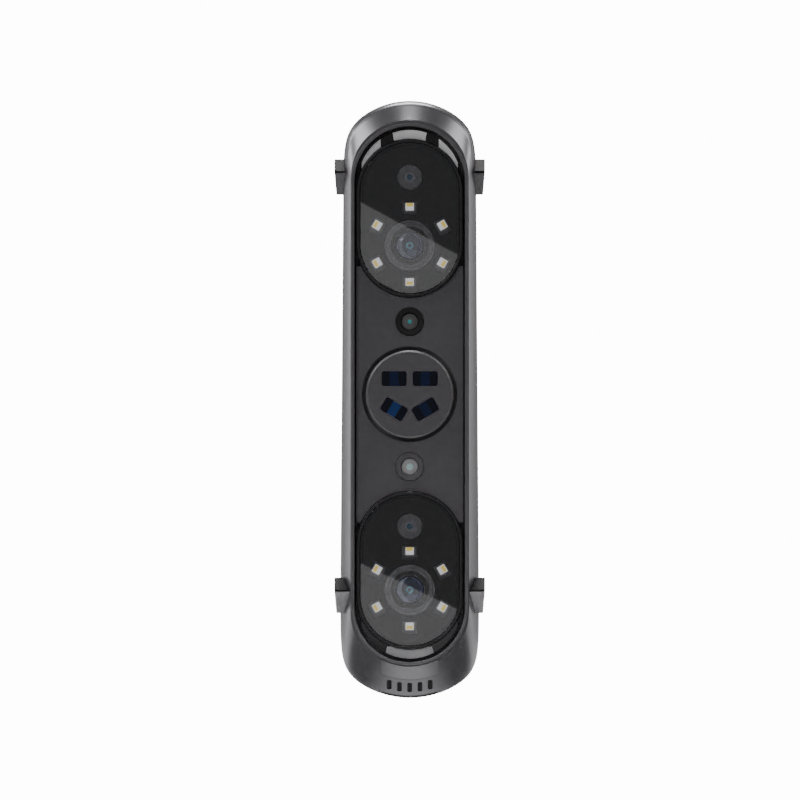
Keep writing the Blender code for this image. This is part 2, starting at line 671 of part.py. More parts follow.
# --- Side lugs --------------------------------------------------------------------------------
def lug_prism(name, way, x_in, x_out, ridge_z, ridge_d, grow, material):
    """A wedge along X whose ridge points forwards."""
    ridge = ridge_d - grow
    back = ridge_d + LUG_DEEP + grow
    edge = LUG_EDGE + grow
    low = ridge_z - LUG_DOWN - grow
    high = ridge_z + LUG_UP + grow
    profile = [(ridge, ridge_z + edge / 2), (ridge, ridge_z - edge), (back - edge, low), (back, low),
               (back, high), (back - 2 * edge, high)]
    rings = [[(way * x, depth, z) for depth, z in profile] for x in (x_in, x_out)]
    return loft(name, rings, material)


for level, (ridge_z, ridge_d, x_in) in LUGS.items():
    for hand, way in (("left", -1), ("right", 1)):
        combine(housing, lug_prism("lug_slot", way, BEZEL_R + GAP / 2, LUG_X + CUT, ridge_z, ridge_d, GAP,
                                   gunmetal))
        lug_prism(f"{level}_{hand}_lug", way, x_in, LUG_X, ridge_z, ridge_d, 0, bezel_grey)


# --- Rear shell, grip and keys ----------------------------------------------------------------
rear_start = SPLIT_D + GAP
rear = cup("rear_shell", rear_start, 0, -WALL, gunmetal)
sleeve = cup("grip_sleeve", SLEEVE_D, SLEEVE_T + GAP, GAP, rubber)
combine(sleeve, box("sleeve_crop", (-LENGTH, 0, SLEEVE_Z[0]), (LENGTH, 2 * DEPTH, SLEEVE_Z[1]), rubber),
        "INTERSECT")

frame_front = SHELL_BACK_D + KEYPAD_PROUD - KEYPAD_T
opening = plate("keypad_opening", [stadium(KEYPAD_R + GAP, *KEYPAD_Z)], frame_front - CUT, DEPTH + CUT,
                rubber)
combine(rear, opening)


def keys():
    """Every key: its name, radius, x, z and material."""
    yield "scan_button", SCAN_R, 0, SCAN_Z, key_blue
    for name, turn in (("right", 0), ("up", 90), ("left", 180), ("down", 270)):
        yield f"{name}_key", KEY_R, *around(KEY_ORBIT, turn, KEY_Z), key_grey


frame_holes = [circle(radius + KEY_RUN, x, z, SMALL_SIDES) for _, radius, x, z, _ in keys()]
frame_back = SHELL_BACK_D + KEYPAD_PROUD
plate("keypad_frame", [stadium(KEYPAD_R, *KEYPAD_Z), *frame_holes], frame_front, frame_back, matte_black)
for name, radius, x, z, material in keys():
    inner = frame_front - GAP
    outer = frame_back + KEY_PROUD
    profile = [(0, inner - KEY_FLANGE_T), (radius + KEY_FLANGE, inner - KEY_FLANGE_T),
               (radius + KEY_FLANGE, inner), (radius, inner), (radius, outer - 0.3 * MM),
               (radius - 0.3 * MM, outer), (0, outer)]
    turned(name, profile, material, at(x, 0, z), SMALL_SIDES)
board_back = frame_front - GAP - KEY_FLANGE_T - KEY_TRAVEL - GAP
plate("keypad_board", [stadium(KEYPAD_R - GAP, *KEYPAD_Z)], board_back - BOARD_T, board_back, board_green)

nut_base = -GRIP_END_Z - GRIP_HALF_W - INSERT_PROUD
nut_place = Matrix.Translation((0, INSERT_NUT_D, nut_base + INSERT_NUT_LONG))
nut = [(0, 0), (INSERT_NUT_R, 0), (INSERT_NUT_R, INSERT_NUT_LONG), (INSERT_BORE_R, INSERT_NUT_LONG),
       (INSERT_BORE_R, INSERT_NUT_LONG - INSERT_BORE_LONG), (0, INSERT_NUT_LONG - INSERT_BORE_LONG)]
turned("tripod_insert", nut, brass, nut_place)
nut_hole = [(0, -CUT), (INSERT_NUT_R + GAP, -CUT), (INSERT_NUT_R + GAP, INSERT_NUT_LONG + CUT),
            (0, INSERT_NUT_LONG + CUT)]
combine(rear, turned("insert_hole", nut_hole, brass, nut_place))

for i in range(REAR_VENTS):
    x = (i - (REAR_VENTS - 1) / 2) * REAR_VENT_PITCH
    z = -END_Z - REAR_VENT_DROP
    slot = plate("rear_vent", [oblong(*REAR_VENT, x, z, corner=0.6 * MM)], FAN_D + FAN_T + CUT,
                 NECK_D + CUT, matte_black)
    combine(rear, slot)


# --- Inside -----------------------------------------------------------------------------------
def make_chassis():
    back = CHASSIS_D + CHASSIS_T
    reach_z = END_Z - 2 * MM
    holes = [circle(7 * MM, z=way * EYE_Z, sides=SMALL_SIDES) for way in (1, -1)]
    made = plate("chassis", [stadium(CHASSIS_HALF_W, -reach_z, reach_z), *holes], CHASSIS_D, back, alloy)
    for way_x in (1, -1):
        for way_z in (1, -1):
            near, far = sorted((way_x * CHASSIS_HALF_W, way_x * (CHASSIS_HALF_W - FLANGE_T)))
            low = way_z * SCREW_Z - FLANGE_LONG / 2
            tab = box("chassis_tab", (near, CHASSIS_D + CHASSIS_T / 2, low),
                      (far, back + FLANGE_DEEP, low + FLANGE_LONG), alloy)
            combine(made, tab, "UNION")
    return made


chassis = make_chassis()
number = 0
for way_z in (1, -1):
    for way_x in (-1, 1):
        number += 1
        z = way_z * SCREW_Z
        head_r, head_t = SCREW_HEAD
        face = half_width(z) - 0.1 * MM
        lie = Matrix.Translation((0, SCREW_D, z)) @ Matrix.Rotation(math.radians(90 * way_x), 4, "Y")
        tip = face - head_t - SCREW_LONG
        screw = [(0, -face), (head_r, -face), (head_r, head_t - face), (SCREW_SHANK_R, head_t - face),
                 (SCREW_SHANK_R, -tip), (0, -tip)]
        turned(f"case_screw_{number}", screw, steel, lie, SMALL_SIDES)
        sink = [(0, -face - CUT), (head_r + GAP, -face - CUT), (head_r + GAP, head_t + GAP - face),
                (SCREW_SHANK_R + GAP, head_t + GAP - face), (SCREW_SHANK_R + GAP, CUT - tip), (0, CUT - tip)]
        cutter = as_cutter(turned("screw_sink", sink, steel, lie, SMALL_SIDES))
        combine(rear, cutter)
        combine(chassis, cutter)

plate("main_board", [oblong(*MAIN_BOARD, corner=2 * MM)], MAIN_BOARD_D, MAIN_BOARD_D + BOARD_T, board_green)

fan_back = FAN_D + FAN_T
fan = plate("fan_frame", [oblong(FAN_SIDE, FAN_SIDE, 0, FAN_Z, corner=2 * MM),
                          circle(FAN_BORE_R, z=FAN_Z)], FAN_D, fan_back, matte_black)
seat = rod("fan_seat", FAN_HUB_R, FAN_D + 0.2 * MM, FAN_D + 1.4 * MM, matte_black, 0, FAN_Z, SMALL_SIDES)
combine(fan, seat, "UNION")
for i in range(3):
    turn = 90 + 120 * i
    spoke = oblong(FAN_BORE_R, 1.6 * MM, *around(FAN_BORE_R / 2 + 1.5 * MM, turn, FAN_Z), turn)
    combine(fan, plate("fan_spoke", [spoke], FAN_D + 0.1 * MM, FAN_D + 1.3 * MM, matte_black), "UNION")

rotor_front = FAN_D + 1.4 * MM + GAP
rotor_back = fan_back - GAP
hub = [(0, 0), (FAN_HUB_R, 0), (FAN_HUB_R, rotor_back - rotor_front), (0, rotor_back - rotor_front)]
rotor = turned("fan_rotor", hub, key_grey, at(0, rotor_front, FAN_Z), SMALL_SIDES)
for i in range(FAN_BLADES):
    blade_long = FAN_BORE_R - 0.6 * MM - FAN_HUB_R / 2
    blade = box("fan_blade", (-blade_long / 2, -0.5 * MM, -3.2 * MM),
                (blade_long / 2, 0.5 * MM, 3.2 * MM), key_grey)
    middle_r = FAN_HUB_R / 2 + blade_long / 2
    blade.matrix_local = (Matrix.Translation((0, (rotor_front + rotor_back) / 2, FAN_Z))
                          @ Matrix.Rotation(2 * math.pi * i / FAN_BLADES, 4, "Y")
                          @ Matrix.Translation((middle_r, 0, 0)) @ Matrix.Rotation(math.radians(50), 4, "X"))
    combine(rotor, blade, "UNION")
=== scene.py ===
# %% [markdown]
# # A handheld 3-D scanner, dressed piece by piece
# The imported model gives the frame: where every piece is, and which body it rides on. This script
# adds the looks. Each step says what the piece is on the real scanner, how it could be made, and
# why it is made this way.

# %% Load the frame
import math

import bmesh
import bpy
from mathutils import Matrix, Vector


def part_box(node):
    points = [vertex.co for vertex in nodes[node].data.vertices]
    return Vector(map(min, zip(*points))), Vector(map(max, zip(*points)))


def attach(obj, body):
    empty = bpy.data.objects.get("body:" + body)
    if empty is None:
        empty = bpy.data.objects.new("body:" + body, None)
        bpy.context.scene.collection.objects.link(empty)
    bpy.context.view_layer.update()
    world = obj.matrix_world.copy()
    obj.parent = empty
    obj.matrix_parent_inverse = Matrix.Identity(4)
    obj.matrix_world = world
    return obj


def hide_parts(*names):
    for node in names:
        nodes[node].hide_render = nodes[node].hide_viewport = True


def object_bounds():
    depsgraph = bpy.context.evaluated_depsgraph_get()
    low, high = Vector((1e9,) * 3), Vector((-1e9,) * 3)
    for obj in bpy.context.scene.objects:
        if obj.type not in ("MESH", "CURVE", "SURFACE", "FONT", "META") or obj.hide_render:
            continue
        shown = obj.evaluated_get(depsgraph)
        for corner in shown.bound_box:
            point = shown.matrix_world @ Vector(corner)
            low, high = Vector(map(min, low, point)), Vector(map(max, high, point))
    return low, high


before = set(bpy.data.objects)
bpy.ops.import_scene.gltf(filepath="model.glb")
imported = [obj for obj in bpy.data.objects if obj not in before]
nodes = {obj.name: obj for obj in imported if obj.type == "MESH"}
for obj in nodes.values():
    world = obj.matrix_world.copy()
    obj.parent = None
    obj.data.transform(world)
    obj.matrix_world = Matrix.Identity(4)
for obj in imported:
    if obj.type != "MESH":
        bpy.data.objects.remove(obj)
cad_low, cad_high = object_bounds()

# %% [markdown]
# ## One workbench in millimetres
# The scanner's own drawing counts depth backwards from the lip of its face, and height from the
# middle of the laser disc. Modelling in those terms, in millimetres, keeps every number readable,
# and one matrix at the end moves the finished mesh into the frame. A parent object could do that
# too, but here each piece keeps its place inside its mesh.

# %% The workbench matrix
MM = 0.001
laser_low, laser_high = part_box("laser_cover")
face_y = cad_low.y
middle_z = (laser_low.z + laser_high.z) / 2
TO_FRAME = Matrix.Translation((0, face_y, middle_z)) @ Matrix.Diagonal((MM, MM, MM, 1))
print("face at y", round(face_y, 4), "laser disc at z", round(middle_z, 4))

# %% [markdown]
# ## Finishes
# A moulded or painted surface is never one flat colour. Three things make it read as real: a slow
# drift in the colour, a fine grain in the roughness, so that highlights break up, and a bump that
# the light can catch. All three come from noise on Object coordinates, which need no unwrapping and
# stay still when the piece moves. Painting an image would also work, but it would need one texture
# for each piece.

# %% One function for every opaque finish
def noise(tree, scale, detail=2.0, stretch=(1, 1, 1)):
    """Noise on Object coordinates, with its grain drawn out along an axis if asked."""
    where = tree.nodes.new("ShaderNodeTexCoord")
    turn = tree.nodes.new("ShaderNodeMapping")
    turn.inputs["Scale"].default_value = stretch
    made = tree.nodes.new("ShaderNodeTexNoise")
    made.inputs["Scale"].default_value = scale
    made.inputs["Detail"].default_value = detail
    tree.links.new(where.outputs["Object"], turn.inputs["Vector"])
    tree.links.new(turn.outputs["Vector"], made.inputs["Vector"])
    return made.outputs["Fac"]


NOISE_LOW, NOISE_HIGH = 0.3, 0.7


def spread(tree, source, low, high):
    """Maps the middle of a noise to a range."""
    made = tree.nodes.new("ShaderNodeMapRange")
    made.inputs["From Min"].default_value = NOISE_LOW
    made.inputs["From Max"].default_value = NOISE_HIGH
    made.inputs["To Min"].default_value = low
    made.inputs["To Max"].default_value = high
    tree.links.new(source, made.inputs["Value"])
    return made.outputs["Result"]


def shades(tree, source, first, second, low=0.0, high=1.0):
    """A colour that goes from one shade to another while its source goes from low to high."""
    made = tree.nodes.new("ShaderNodeValToRGB")
    stops = made.color_ramp.elements
    stops[0].position, stops[1].position = low, high
    stops[0].color, stops[1].color = (*first, 1), (*second, 1)
    tree.links.new(source, made.inputs["Fac"])
    return made.outputs["Color"]


DRIFT_SCALE, WEAR_SCALE = 60, 35
COAT_ROUGH, BUMP_HIGH = 0.06, 0.05 * MM


def finish(name, colour, rough, metal=0.0, grain=1500, bump=0.05, drift=0.08, coat=0.0, worn=0.0,
           stretch=(1, 1, 1), specular=0.5, vary=0.12):
    """A Principled finish whose colour drifts, and whose roughness and bump have a grain."""
    made = bpy.data.materials.new(name)
    made.use_nodes = True
    tree = made.node_tree
    shader = tree.nodes["Principled BSDF"]
    shader.inputs["Metallic"].default_value = metal
    shader.inputs["Coat Weight"].default_value = coat
    shader.inputs["Coat Roughness"].default_value = COAT_ROUGH
    shader.inputs["Specular IOR Level"].default_value = specular
    darker = [part * (1 - drift) for part in colour]
    lighter = [min(part * (1 + drift), 1) for part in colour]
    drifting = shades(tree, noise(tree, DRIFT_SCALE), darker, lighter, NOISE_LOW, NOISE_HIGH)
    tree.links.new(drifting, shader.inputs["Base Color"])
    fine = noise(tree, grain, 3.0, stretch)
    blotch = noise(tree, WEAR_SCALE, 4.0)
    mixed = tree.nodes.new("ShaderNodeMath")
    mixed.operation = "MULTIPLY_ADD"
    mixed.inputs[1].default_value = worn
    tree.links.new(blotch, mixed.inputs[0])
    tree.links.new(spread(tree, fine, rough * (1 - vary), rough * (1 + vary)), mixed.inputs[2])
    tree.links.new(mixed.outputs["Value"], shader.inputs["Roughness"])
    if bump:
        rise = tree.nodes.new("ShaderNodeBump")
        rise.inputs["Strength"].default_value = bump
        rise.inputs["Distance"].default_value = BUMP_HIGH
        tree.links.new(fine, rise.inputs["Height"])
        tree.links.new(rise.outputs["Normal"], shader.inputs["Normal"])
    return made


GUNMETAL = finish("satin_gunmetal", (0.2, 0.196, 0.21), 0.31, metal=0.85, grain=2600, bump=0.0,
                  drift=0.02, worn=0.01, vary=0.01)
LIP_GREY = finish("lip_grey", (0.13, 0.129, 0.136), 0.36, metal=0.3, grain=2200, bump=0.1, worn=0.05)
PANEL_GREY = finish("panel_grey", (0.083, 0.079, 0.088), 0.48, grain=2600, bump=0.04, drift=0.03, worn=0.03)
# The lugs' near black goes on faces that look up or back: painted shade.
LUG_PAINTED_SHADE = finish("lug_painted_shade", (0.01, 0.01, 0.011), 0.4, specular=0.08, grain=1800, bump=0.1, worn=0.08)
GLOSS_BLACK = finish("gloss_black", (0.006, 0.006, 0.007), 0.1, grain=400, bump=0.01, coat=0.5)
RIM_BLACK = finish("window_rim_black", (0.022, 0.022, 0.024), 0.25, grain=1500, bump=0.05)
MASK_BLACK = finish("mask_black", (0.05, 0.048, 0.054), 0.4, grain=2600, bump=0.1)
POCKET_GREY = finish("pocket_grey", (0.2, 0.198, 0.205), 0.45, grain=2000, bump=0.1)
GROOVE_PAINTED_SHADE = finish("groove_painted_shade", (0.06, 0.06, 0.063), 0.5, grain=2000, bump=0.05)
DEEP_BLACK = finish("deep_black", (0.006, 0.006, 0.006), 0.7, grain=2000, bump=0.2)
EDGE_SATIN = finish("disc_edge_satin", (0.2, 0.196, 0.208), 0.34, metal=0.3, grain=2600, bump=0.02)
# The two lighter lug greys go on faces that look down and forwards: painted light, stronger on the lower
# lugs.
LUG_PAINTED_LIGHT = finish("lug_painted_light", (0.18, 0.18, 0.188), 0.4, grain=1800, bump=0.04, worn=0.05)
LUG_PAINTED_BRIGHT_LIGHT = finish("lug_painted_bright_light", (0.42, 0.415, 0.435), 0.4, metal=0.3, grain=1800, bump=0.02, worn=0.05)
# The tabs' pale greys are painted reflections of the lights: brighter on the upper trim, dimmer on the lower
# one.
TAB_DIM_PAINTED_REFLECTION = finish("tab_dim_painted_reflection", (0.33, 0.33, 0.34), 0.35, grain=2400, bump=0.02)
TAB_PAINTED_REFLECTION = finish("tab_painted_reflection", (0.82, 0.82, 0.83), 0.35, grain=2400, bump=0.08)
INSERT_GREY = finish("insert_grey", (0.23, 0.228, 0.24), 0.31, metal=0.85, grain=2600, bump=0.0,
                     drift=0.02, worn=0.01, vary=0.01)
ALLOY = finish("machined_alloy", (0.55, 0.55, 0.57), 0.33, metal=1.0, grain=900, bump=0.1,
               stretch=(1, 1, 12), worn=0.1)
STEEL = finish("screw_steel", (0.3, 0.3, 0.31), 0.3, metal=1.0, grain=1200, bump=0.1, worn=0.1)
BRASS = finish("turned_brass", (0.5, 0.36, 0.14), 0.28, metal=1.0, grain=1200, bump=0.1, worn=0.15)
KEY_GREY = finish("key_grey", (0.09, 0.09, 0.095), 0.5, grain=2200, bump=0.2, worn=0.1)
KEY_BLUE = finish("key_blue", (0.03, 0.13, 0.34), 0.42, grain=2200, bump=0.15, worn=0.1)
print("finishes so far:", len(bpy.data.materials))

# %% [markdown]
# The grip is soft moulded rubber with a fine pebble, and a circuit board shows fibre glass under
# green lacquer with copper traces. Both get their pattern from a cell texture, which gives close
# round pebbles or square islands without any image.

# %% Rubber and circuit board
def cells(tree, scale, metric="EUCLIDEAN", spread_out=1.0):
    """Distance to the middle of each cell of a random pattern."""
    where = tree.nodes.new("ShaderNodeTexCoord")
    made = tree.nodes.new("ShaderNodeTexVoronoi")
    made.distance = metric
    made.inputs["Scale"].default_value = scale
    made.inputs["Randomness"].default_value = spread_out
    tree.links.new(where.outputs["Object"], made.inputs["Vector"])
    return made.outputs["Distance"]


RUBBER = finish("grip_rubber", (0.021, 0.021, 0.022), 0.72, grain=1800, bump=0.0, worn=0.08)
tree = RUBBER.node_tree
pebble = tree.nodes.new("ShaderNodeBump")
pebble.inputs["Strength"].default_value = 0.5
pebble.inputs["Distance"].default_value = 0.15 * MM
pebble.invert = True
tree.links.new(cells(tree, 900, spread_out=0.5), pebble.inputs["Height"])
tree.links.new(pebble.outputs["Normal"], tree.nodes["Principled BSDF"].inputs["Normal"])

BOARD = finish("circuit_board", (0.015, 0.09, 0.045), 0.35, grain=1500, bump=0.05)
tree = BOARD.node_tree
traces = shades(tree, cells(tree, 420, "CHEBYCHEV"), (0.012, 0.07, 0.035), (0.03, 0.17, 0.08), high=0.42)
traces.node.color_ramp.interpolation = "CONSTANT"
tree.links.new(traces, tree.nodes["Principled BSDF"].inputs["Base Color"])

# %% [markdown]
# ## Glass
# A thin flat window bends nothing, so full refraction would only add noise and stop the light from
# reaching the lamps behind it. A pane that mixes clear with mirror, by the angle, looks the same
# and lets the light through. The same mix, tinted, makes the blue laser panes. A lens does bend
# what is behind it, but here it only has to show its coating: a dark body under a glossy coat,
# with a colour that shifts from its middle to its rim.

# %% Panes
def mixed_shader(tree, share, first, second):
    """The first shader where the share is 0, the second where it is 1."""
    made = tree.nodes.new("ShaderNodeMixShader")
    tree.links.new(share, made.inputs["Fac"])
    tree.links.new(first, made.inputs[1])
    tree.links.new(second, made.inputs[2])
    return made.outputs["Shader"]


def pane(name, tint, gloss=1.45):
    """Thin coloured glass: clear straight on, a mirror towards its edge."""
    made = bpy.data.materials.new(name)
    made.use_nodes = True
    tree = made.node_tree
    tree.nodes.remove(tree.nodes["Principled BSDF"])
    clear = tree.nodes.new("ShaderNodeBsdfTransparent")
    clear.inputs["Color"].default_value = (*tint, 1)
    shine = tree.nodes.new("ShaderNodeBsdfAnisotropic")
    shine.inputs["Color"].default_value = (1, 1, 1, 1)
    tree.links.new(spread(tree, noise(tree, 25, 3.0), 0.0, 0.006), shine.inputs["Roughness"])
    angle = tree.nodes.new("ShaderNodeFresnel")
    angle.inputs["IOR"].default_value = gloss
    both = mixed_shader(tree, angle.outputs["Fac"], clear.outputs["BSDF"], shine.outputs["BSDF"])
    tree.links.new(both, tree.nodes["Material Output"].inputs["Surface"])
    return made


WINDOW = pane("window_pane", (0.86, 0.86, 0.88), 1.6)
LASER_PANE = pane("laser_pane", (0.16, 0.3, 0.52), 1.5)


# %% Coated lenses
def coated(name, middle, rim, rough=0.06):
    """Lens glass with a coating whose colour moves from its middle to its rim by the angle."""
    made = finish(name, middle, rough, grain=300, bump=0.0, drift=0.15, coat=1.0)
    tree = made.node_tree
    shader = tree.nodes["Principled BSDF"]
    angle = tree.nodes.new("ShaderNodeLayerWeight")
    angle.inputs["Blend"].default_value = 0.35
    tree.links.new(shades(tree, angle.outputs["Facing"], middle, rim), shader.inputs["Base Color"])
    return made


LENS_BLUE = coated("lens_blue_coating", (0.11, 0.145, 0.28), (0.06, 0.07, 0.14))
LENS_GREY = coated("lens_grey_coating", (0.085, 0.084, 0.088), (0.05, 0.05, 0.053), 0.3)
LENS_PALE = coated("lens_pale_coating", (0.33, 0.33, 0.34), (0.25, 0.25, 0.26), 0.35)
LENS_CORE = coated("lens_core", (0.08, 0.3, 0.45), (0.12, 0.5, 0.75))
CORE_TEAL = coated("core_teal", (0.05, 0.30, 0.32), (0.02, 0.10, 0.12))
CORE_PALE = coated("core_pale_teal", (0.45, 0.62, 0.62), (0.2, 0.3, 0.3))


# %% Lamps, and other parts with a painted glow
def painted_glow(name, colour, strength, rough=0.5):
    """A surface behind glass with a painted glow: its own colour, and a little emitted light that stands in
    for light falling on it.
    """
    made = finish(name, colour, rough, grain=1500, bump=0.1, drift=0.04)
    shader = made.node_tree.nodes["Principled BSDF"]
    shader.inputs["Emission Color"].default_value = (*colour, 1)
    shader.inputs["Emission Strength"].default_value = strength
    return made


# The lamps are not lit: their glow is painted light that keeps them bright behind the glass.
LAMP_WHITE = painted_glow("lamp_ceramic_white", (0.87, 0.88, 0.87), 0.85)
LAMP_YELLOW = painted_glow("lamp_phosphor_yellow", (0.9, 0.68, 0.12), 0.8)
# The main lens core glows as a painted reflection, and the side lens ring glows as painted light on a ring
# that sits in shade.
CORE_PAINTED_GLEAM = painted_glow("core_painted_gleam", (0.25, 0.7, 0.85), 0.12, 0.2)
SIDE_RING_PAINTED_LIGHT = painted_glow("side_ring_painted_light", (0.42, 0.42, 0.45), 0.1, 0.35)
# The diffuser bars and their beds carry a painted glow; the lower left bar's stronger glow is a painted
# reflection.
LASER_BAR_PAINTED_GLOW = painted_glow("laser_diffuser", (0.22, 0.36, 0.52), 0.1, 0.35)
LASER_BAR_PAINTED_REFLECTION = painted_glow("laser_diffuser_painted_reflection", (0.4, 0.52, 0.66), 0.35, 0.35)
LASER_BED_PAINTED_GLOW = painted_glow("laser_bed", (0.05, 0.07, 0.13), 0.06, 0.5)
print("finishes:", len(bpy.data.materials))

# %% [markdown]
# ## Modelling helpers
# Almost everything here is turned or follows a stadium, two half circles joined by straight
# sides. Both come from one move: spin a profile about the axis, then pull the two halves apart.
# Spinning each end and joining them with plates would leave seams to weld.

# %% Spin a profile, and stretch it into a stadium
MERGE_GAP = 0.0005


def pull_apart(own, stretch):
    """Moves the lower and the upper half of a bmesh to these heights."""
    for vert in own.verts:
        vert.co.z += stretch[1] if vert.co.z > 0 else stretch[0]


def turned(profile, steps=96, stretch=None, at=(0, 0)):
    """Spins (radius, depth) points about a point of the face. A profile that starts off the axis
    is a closed loop. With a stretch, the halves move up and down to those heights."""
    own = bmesh.new()
    half = Matrix.Rotation(math.pi / steps, 4, "Y")
    verts = [own.verts.new(half @ Vector((radius, depth, 0))) for radius, depth in profile]
    loop = all(radius > 0 for radius, _ in profile)
    pairs = list(zip(verts, verts[1:])) + ([(verts[-1], verts[0])] if loop else [])
    edges = [own.edges.new(pair) for pair in pairs]
    bmesh.ops.spin(own, geom=verts + edges, axis=(0, 1, 0), cent=(0, 0, 0), angle=2 * math.pi,
                   steps=steps, use_merge=True, use_duplicate=False)
    bmesh.ops.remove_doubles(own, verts=own.verts, dist=MERGE_GAP)
    if stretch:
        pull_apart(own, stretch)
    bmesh.ops.translate(own, verts=own.verts, vec=(at[0], 0, at[1]))
    bmesh.ops.recalc_face_normals(own, faces=own.faces)
    return own


def as_mesh(own, name):
    """Turns a bmesh into a mesh, and frees it."""
    mesh = bpy.data.meshes.new(name)
    own.to_mesh(mesh)
    own.free()
    return mesh


def merged(work, own):
    """Adds one bmesh to another, or starts a new one."""
    if work is None:
        return own
    mesh = as_mesh(own, "adding")
    work.from_mesh(mesh)
    bpy.data.meshes.remove(mesh)
    return work


# %% [markdown]
# Flat parts start as one face, a circle or a rectangle with its corners rounded, and are drawn out
# to their thickness. Their rims are then bevelled by a tenth or two of a millimetre, because no
# real edge is perfectly sharp, and it is the eased edge that catches the light.

# %% Flat shapes and thickness
FACE_ON = Matrix.Rotation(math.radians(90), 4, "X")


def disc(radius, x=0.0, z=0.0, steps=64, stretch=None):
    """A flat circle, or a stadium, seen from the front."""
    own = bmesh.new()
    bmesh.ops.create_circle(own, cap_ends=True, segments=steps, radius=radius)
    bmesh.ops.rotate(own, verts=own.verts, matrix=Matrix.Rotation(math.pi / steps, 3, "Z"))
    bmesh.ops.transform(own, verts=own.verts, matrix=FACE_ON)
    if stretch:
        pull_apart(own, stretch)
    bmesh.ops.translate(own, verts=own.verts, vec=(x, 0, z))
    return own


def oblong(width, height, corner=0.0, x=0.0, z=0.0, turn=0.0):
    """A flat rectangle with rounded corners, turned anticlockwise as seen from the front."""
    own = bmesh.new()
    bmesh.ops.create_grid(own, x_segments=1, y_segments=1, size=0.5)
    bmesh.ops.scale(own, verts=own.verts, vec=(width, height, 1))
    if corner:
        bmesh.ops.bevel(own, geom=own.verts[:], affect="VERTICES", offset=corner, segments=5,
                        profile=0.5, material=-1)
    place = Matrix.Translation((x, 0, z)) @ FACE_ON @ Matrix.Rotation(math.radians(turn), 4, "Z")
    bmesh.ops.transform(own, verts=own.verts, matrix=place)
    return own


def thick(own, front, back, edge=0.2):
    """Draws a flat shape out between two depths, and eases both rims."""
    bmesh.ops.translate(own, verts=own.verts, vec=(0, front, 0))
    drawn = bmesh.ops.extrude_face_region(own, geom=own.faces[:])
    far = [item for item in drawn["geom"] if isinstance(item, bmesh.types.BMVert)]
    bmesh.ops.translate(own, verts=far, vec=(0, back - front, 0))
    bmesh.ops.recalc_face_normals(own, faces=own.faces)
    return soften(own, edge, only_rims=True) if edge else own


def soften(own, width, segments=2, degrees=35, only_rims=False):
    """Bevels every edge that turns by more than this angle."""
    sharp = [edge for edge in own.edges
             if len(edge.link_faces) == 2 and edge.calc_face_angle() > math.radians(degrees)]
    if only_rims:
        sharp = [edge for edge in sharp if abs(edge.verts[0].co.y - edge.verts[1].co.y) < 1e-5]
    bmesh.ops.bevel(own, geom=sharp, offset=width, offset_type="OFFSET", segments=segments,
                    profile=0.5, affect="EDGES", clamp_overlap=True, material=-1)
    return own


# %% [markdown]
# Holes and slots are cut with Boolean modifiers, as a machinist would cut them. The modifier is
# evaluated at once on two short-lived objects, so no cutter is left in the scene.

# %% Cutting
def put_in_scene(name, data):
    made = bpy.data.objects.new(name, data)
    bpy.context.scene.collection.objects.link(made)
    return made


def cut(own, *tools, operation="DIFFERENCE"):
    """Cuts a bmesh with others, one after the other."""
    base, *cutters = [put_in_scene("work", as_mesh(solid, "work")) for solid in (own, *tools)]
    for cutter in cutters:
        step = base.modifiers.new("cut", "BOOLEAN")
        step.operation = operation
        step.solver = "EXACT"
        step.object = cutter
    evaluated = base.evaluated_get(bpy.context.evaluated_depsgraph_get())
    mesh = bpy.data.meshes.new_from_object(evaluated)
    result = bmesh.new()
    result.from_mesh(mesh)
    for spare in [base, *cutters]:
        bpy.data.meshes.remove(spare.data)
    bpy.data.meshes.remove(mesh)
    bmesh.ops.remove_doubles(result, verts=result.verts, dist=MERGE_GAP)
    return result


def shared(own, tool):
    """Keeps only what lies in both solids."""
    return cut(own, tool, operation="INTERSECT")


def punch(shape, front=0, back=10):
    """A cutter for a hole: a flat shape drawn out with sharp rims."""
    return thick(shape, front, back, 0)


# %% [markdown]
# Each finished bmesh becomes an object in the frame: moved by the workbench matrix, shaded smooth
# except at its sharp edges, and hung on the body that carries it, while the imported nodes it stands
# for are hidden.

# %% Settling a piece in the frame
def settle(own, name, material, stands_for=(), body="body", degrees=32):
    """Makes the object, in metres and in its place."""
    bmesh.ops.transform(own, verts=own.verts, matrix=TO_FRAME)
    mesh = as_mesh(own, name)
    for part in material if isinstance(material, (list, tuple)) else [material]:
        mesh.materials.append(part)
    mesh.shade_smooth()
    mesh.set_sharp_from_angle(angle=math.radians(degrees))
    made = put_in_scene(name, mesh)
    flatten = made.modifiers.new("flat faces stay flat", "WEIGHTED_NORMAL")
    flatten.weight = 100
    flatten.keep_sharp = True
    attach(made, body)
    if stands_for:
        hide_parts(*stands_for)
    print(f"{name}: {len(mesh.polygons)} faces")
    return made


def span(node):
    """A node's lowest and highest corner in workbench millimetres: (x, depth, z) each."""
    low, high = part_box(node)
    back = TO_FRAME.inverted()
    return back @ low, back @ high


# %% [markdown]
# ## The body's surface
# In section, at any depth, the body is an end arc above, an end arc below, and straight sides. From
# the lip backwards the section grows: the sides swell, the head flares out in a wide chamfer and
# turns over, and the chin sweeps down like a scoop. The skin is drawn from one ring of points,
# extruded from section to section. A subdivision surface over a few rings would be lighter, but
# it would round the chamfer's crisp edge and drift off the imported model.

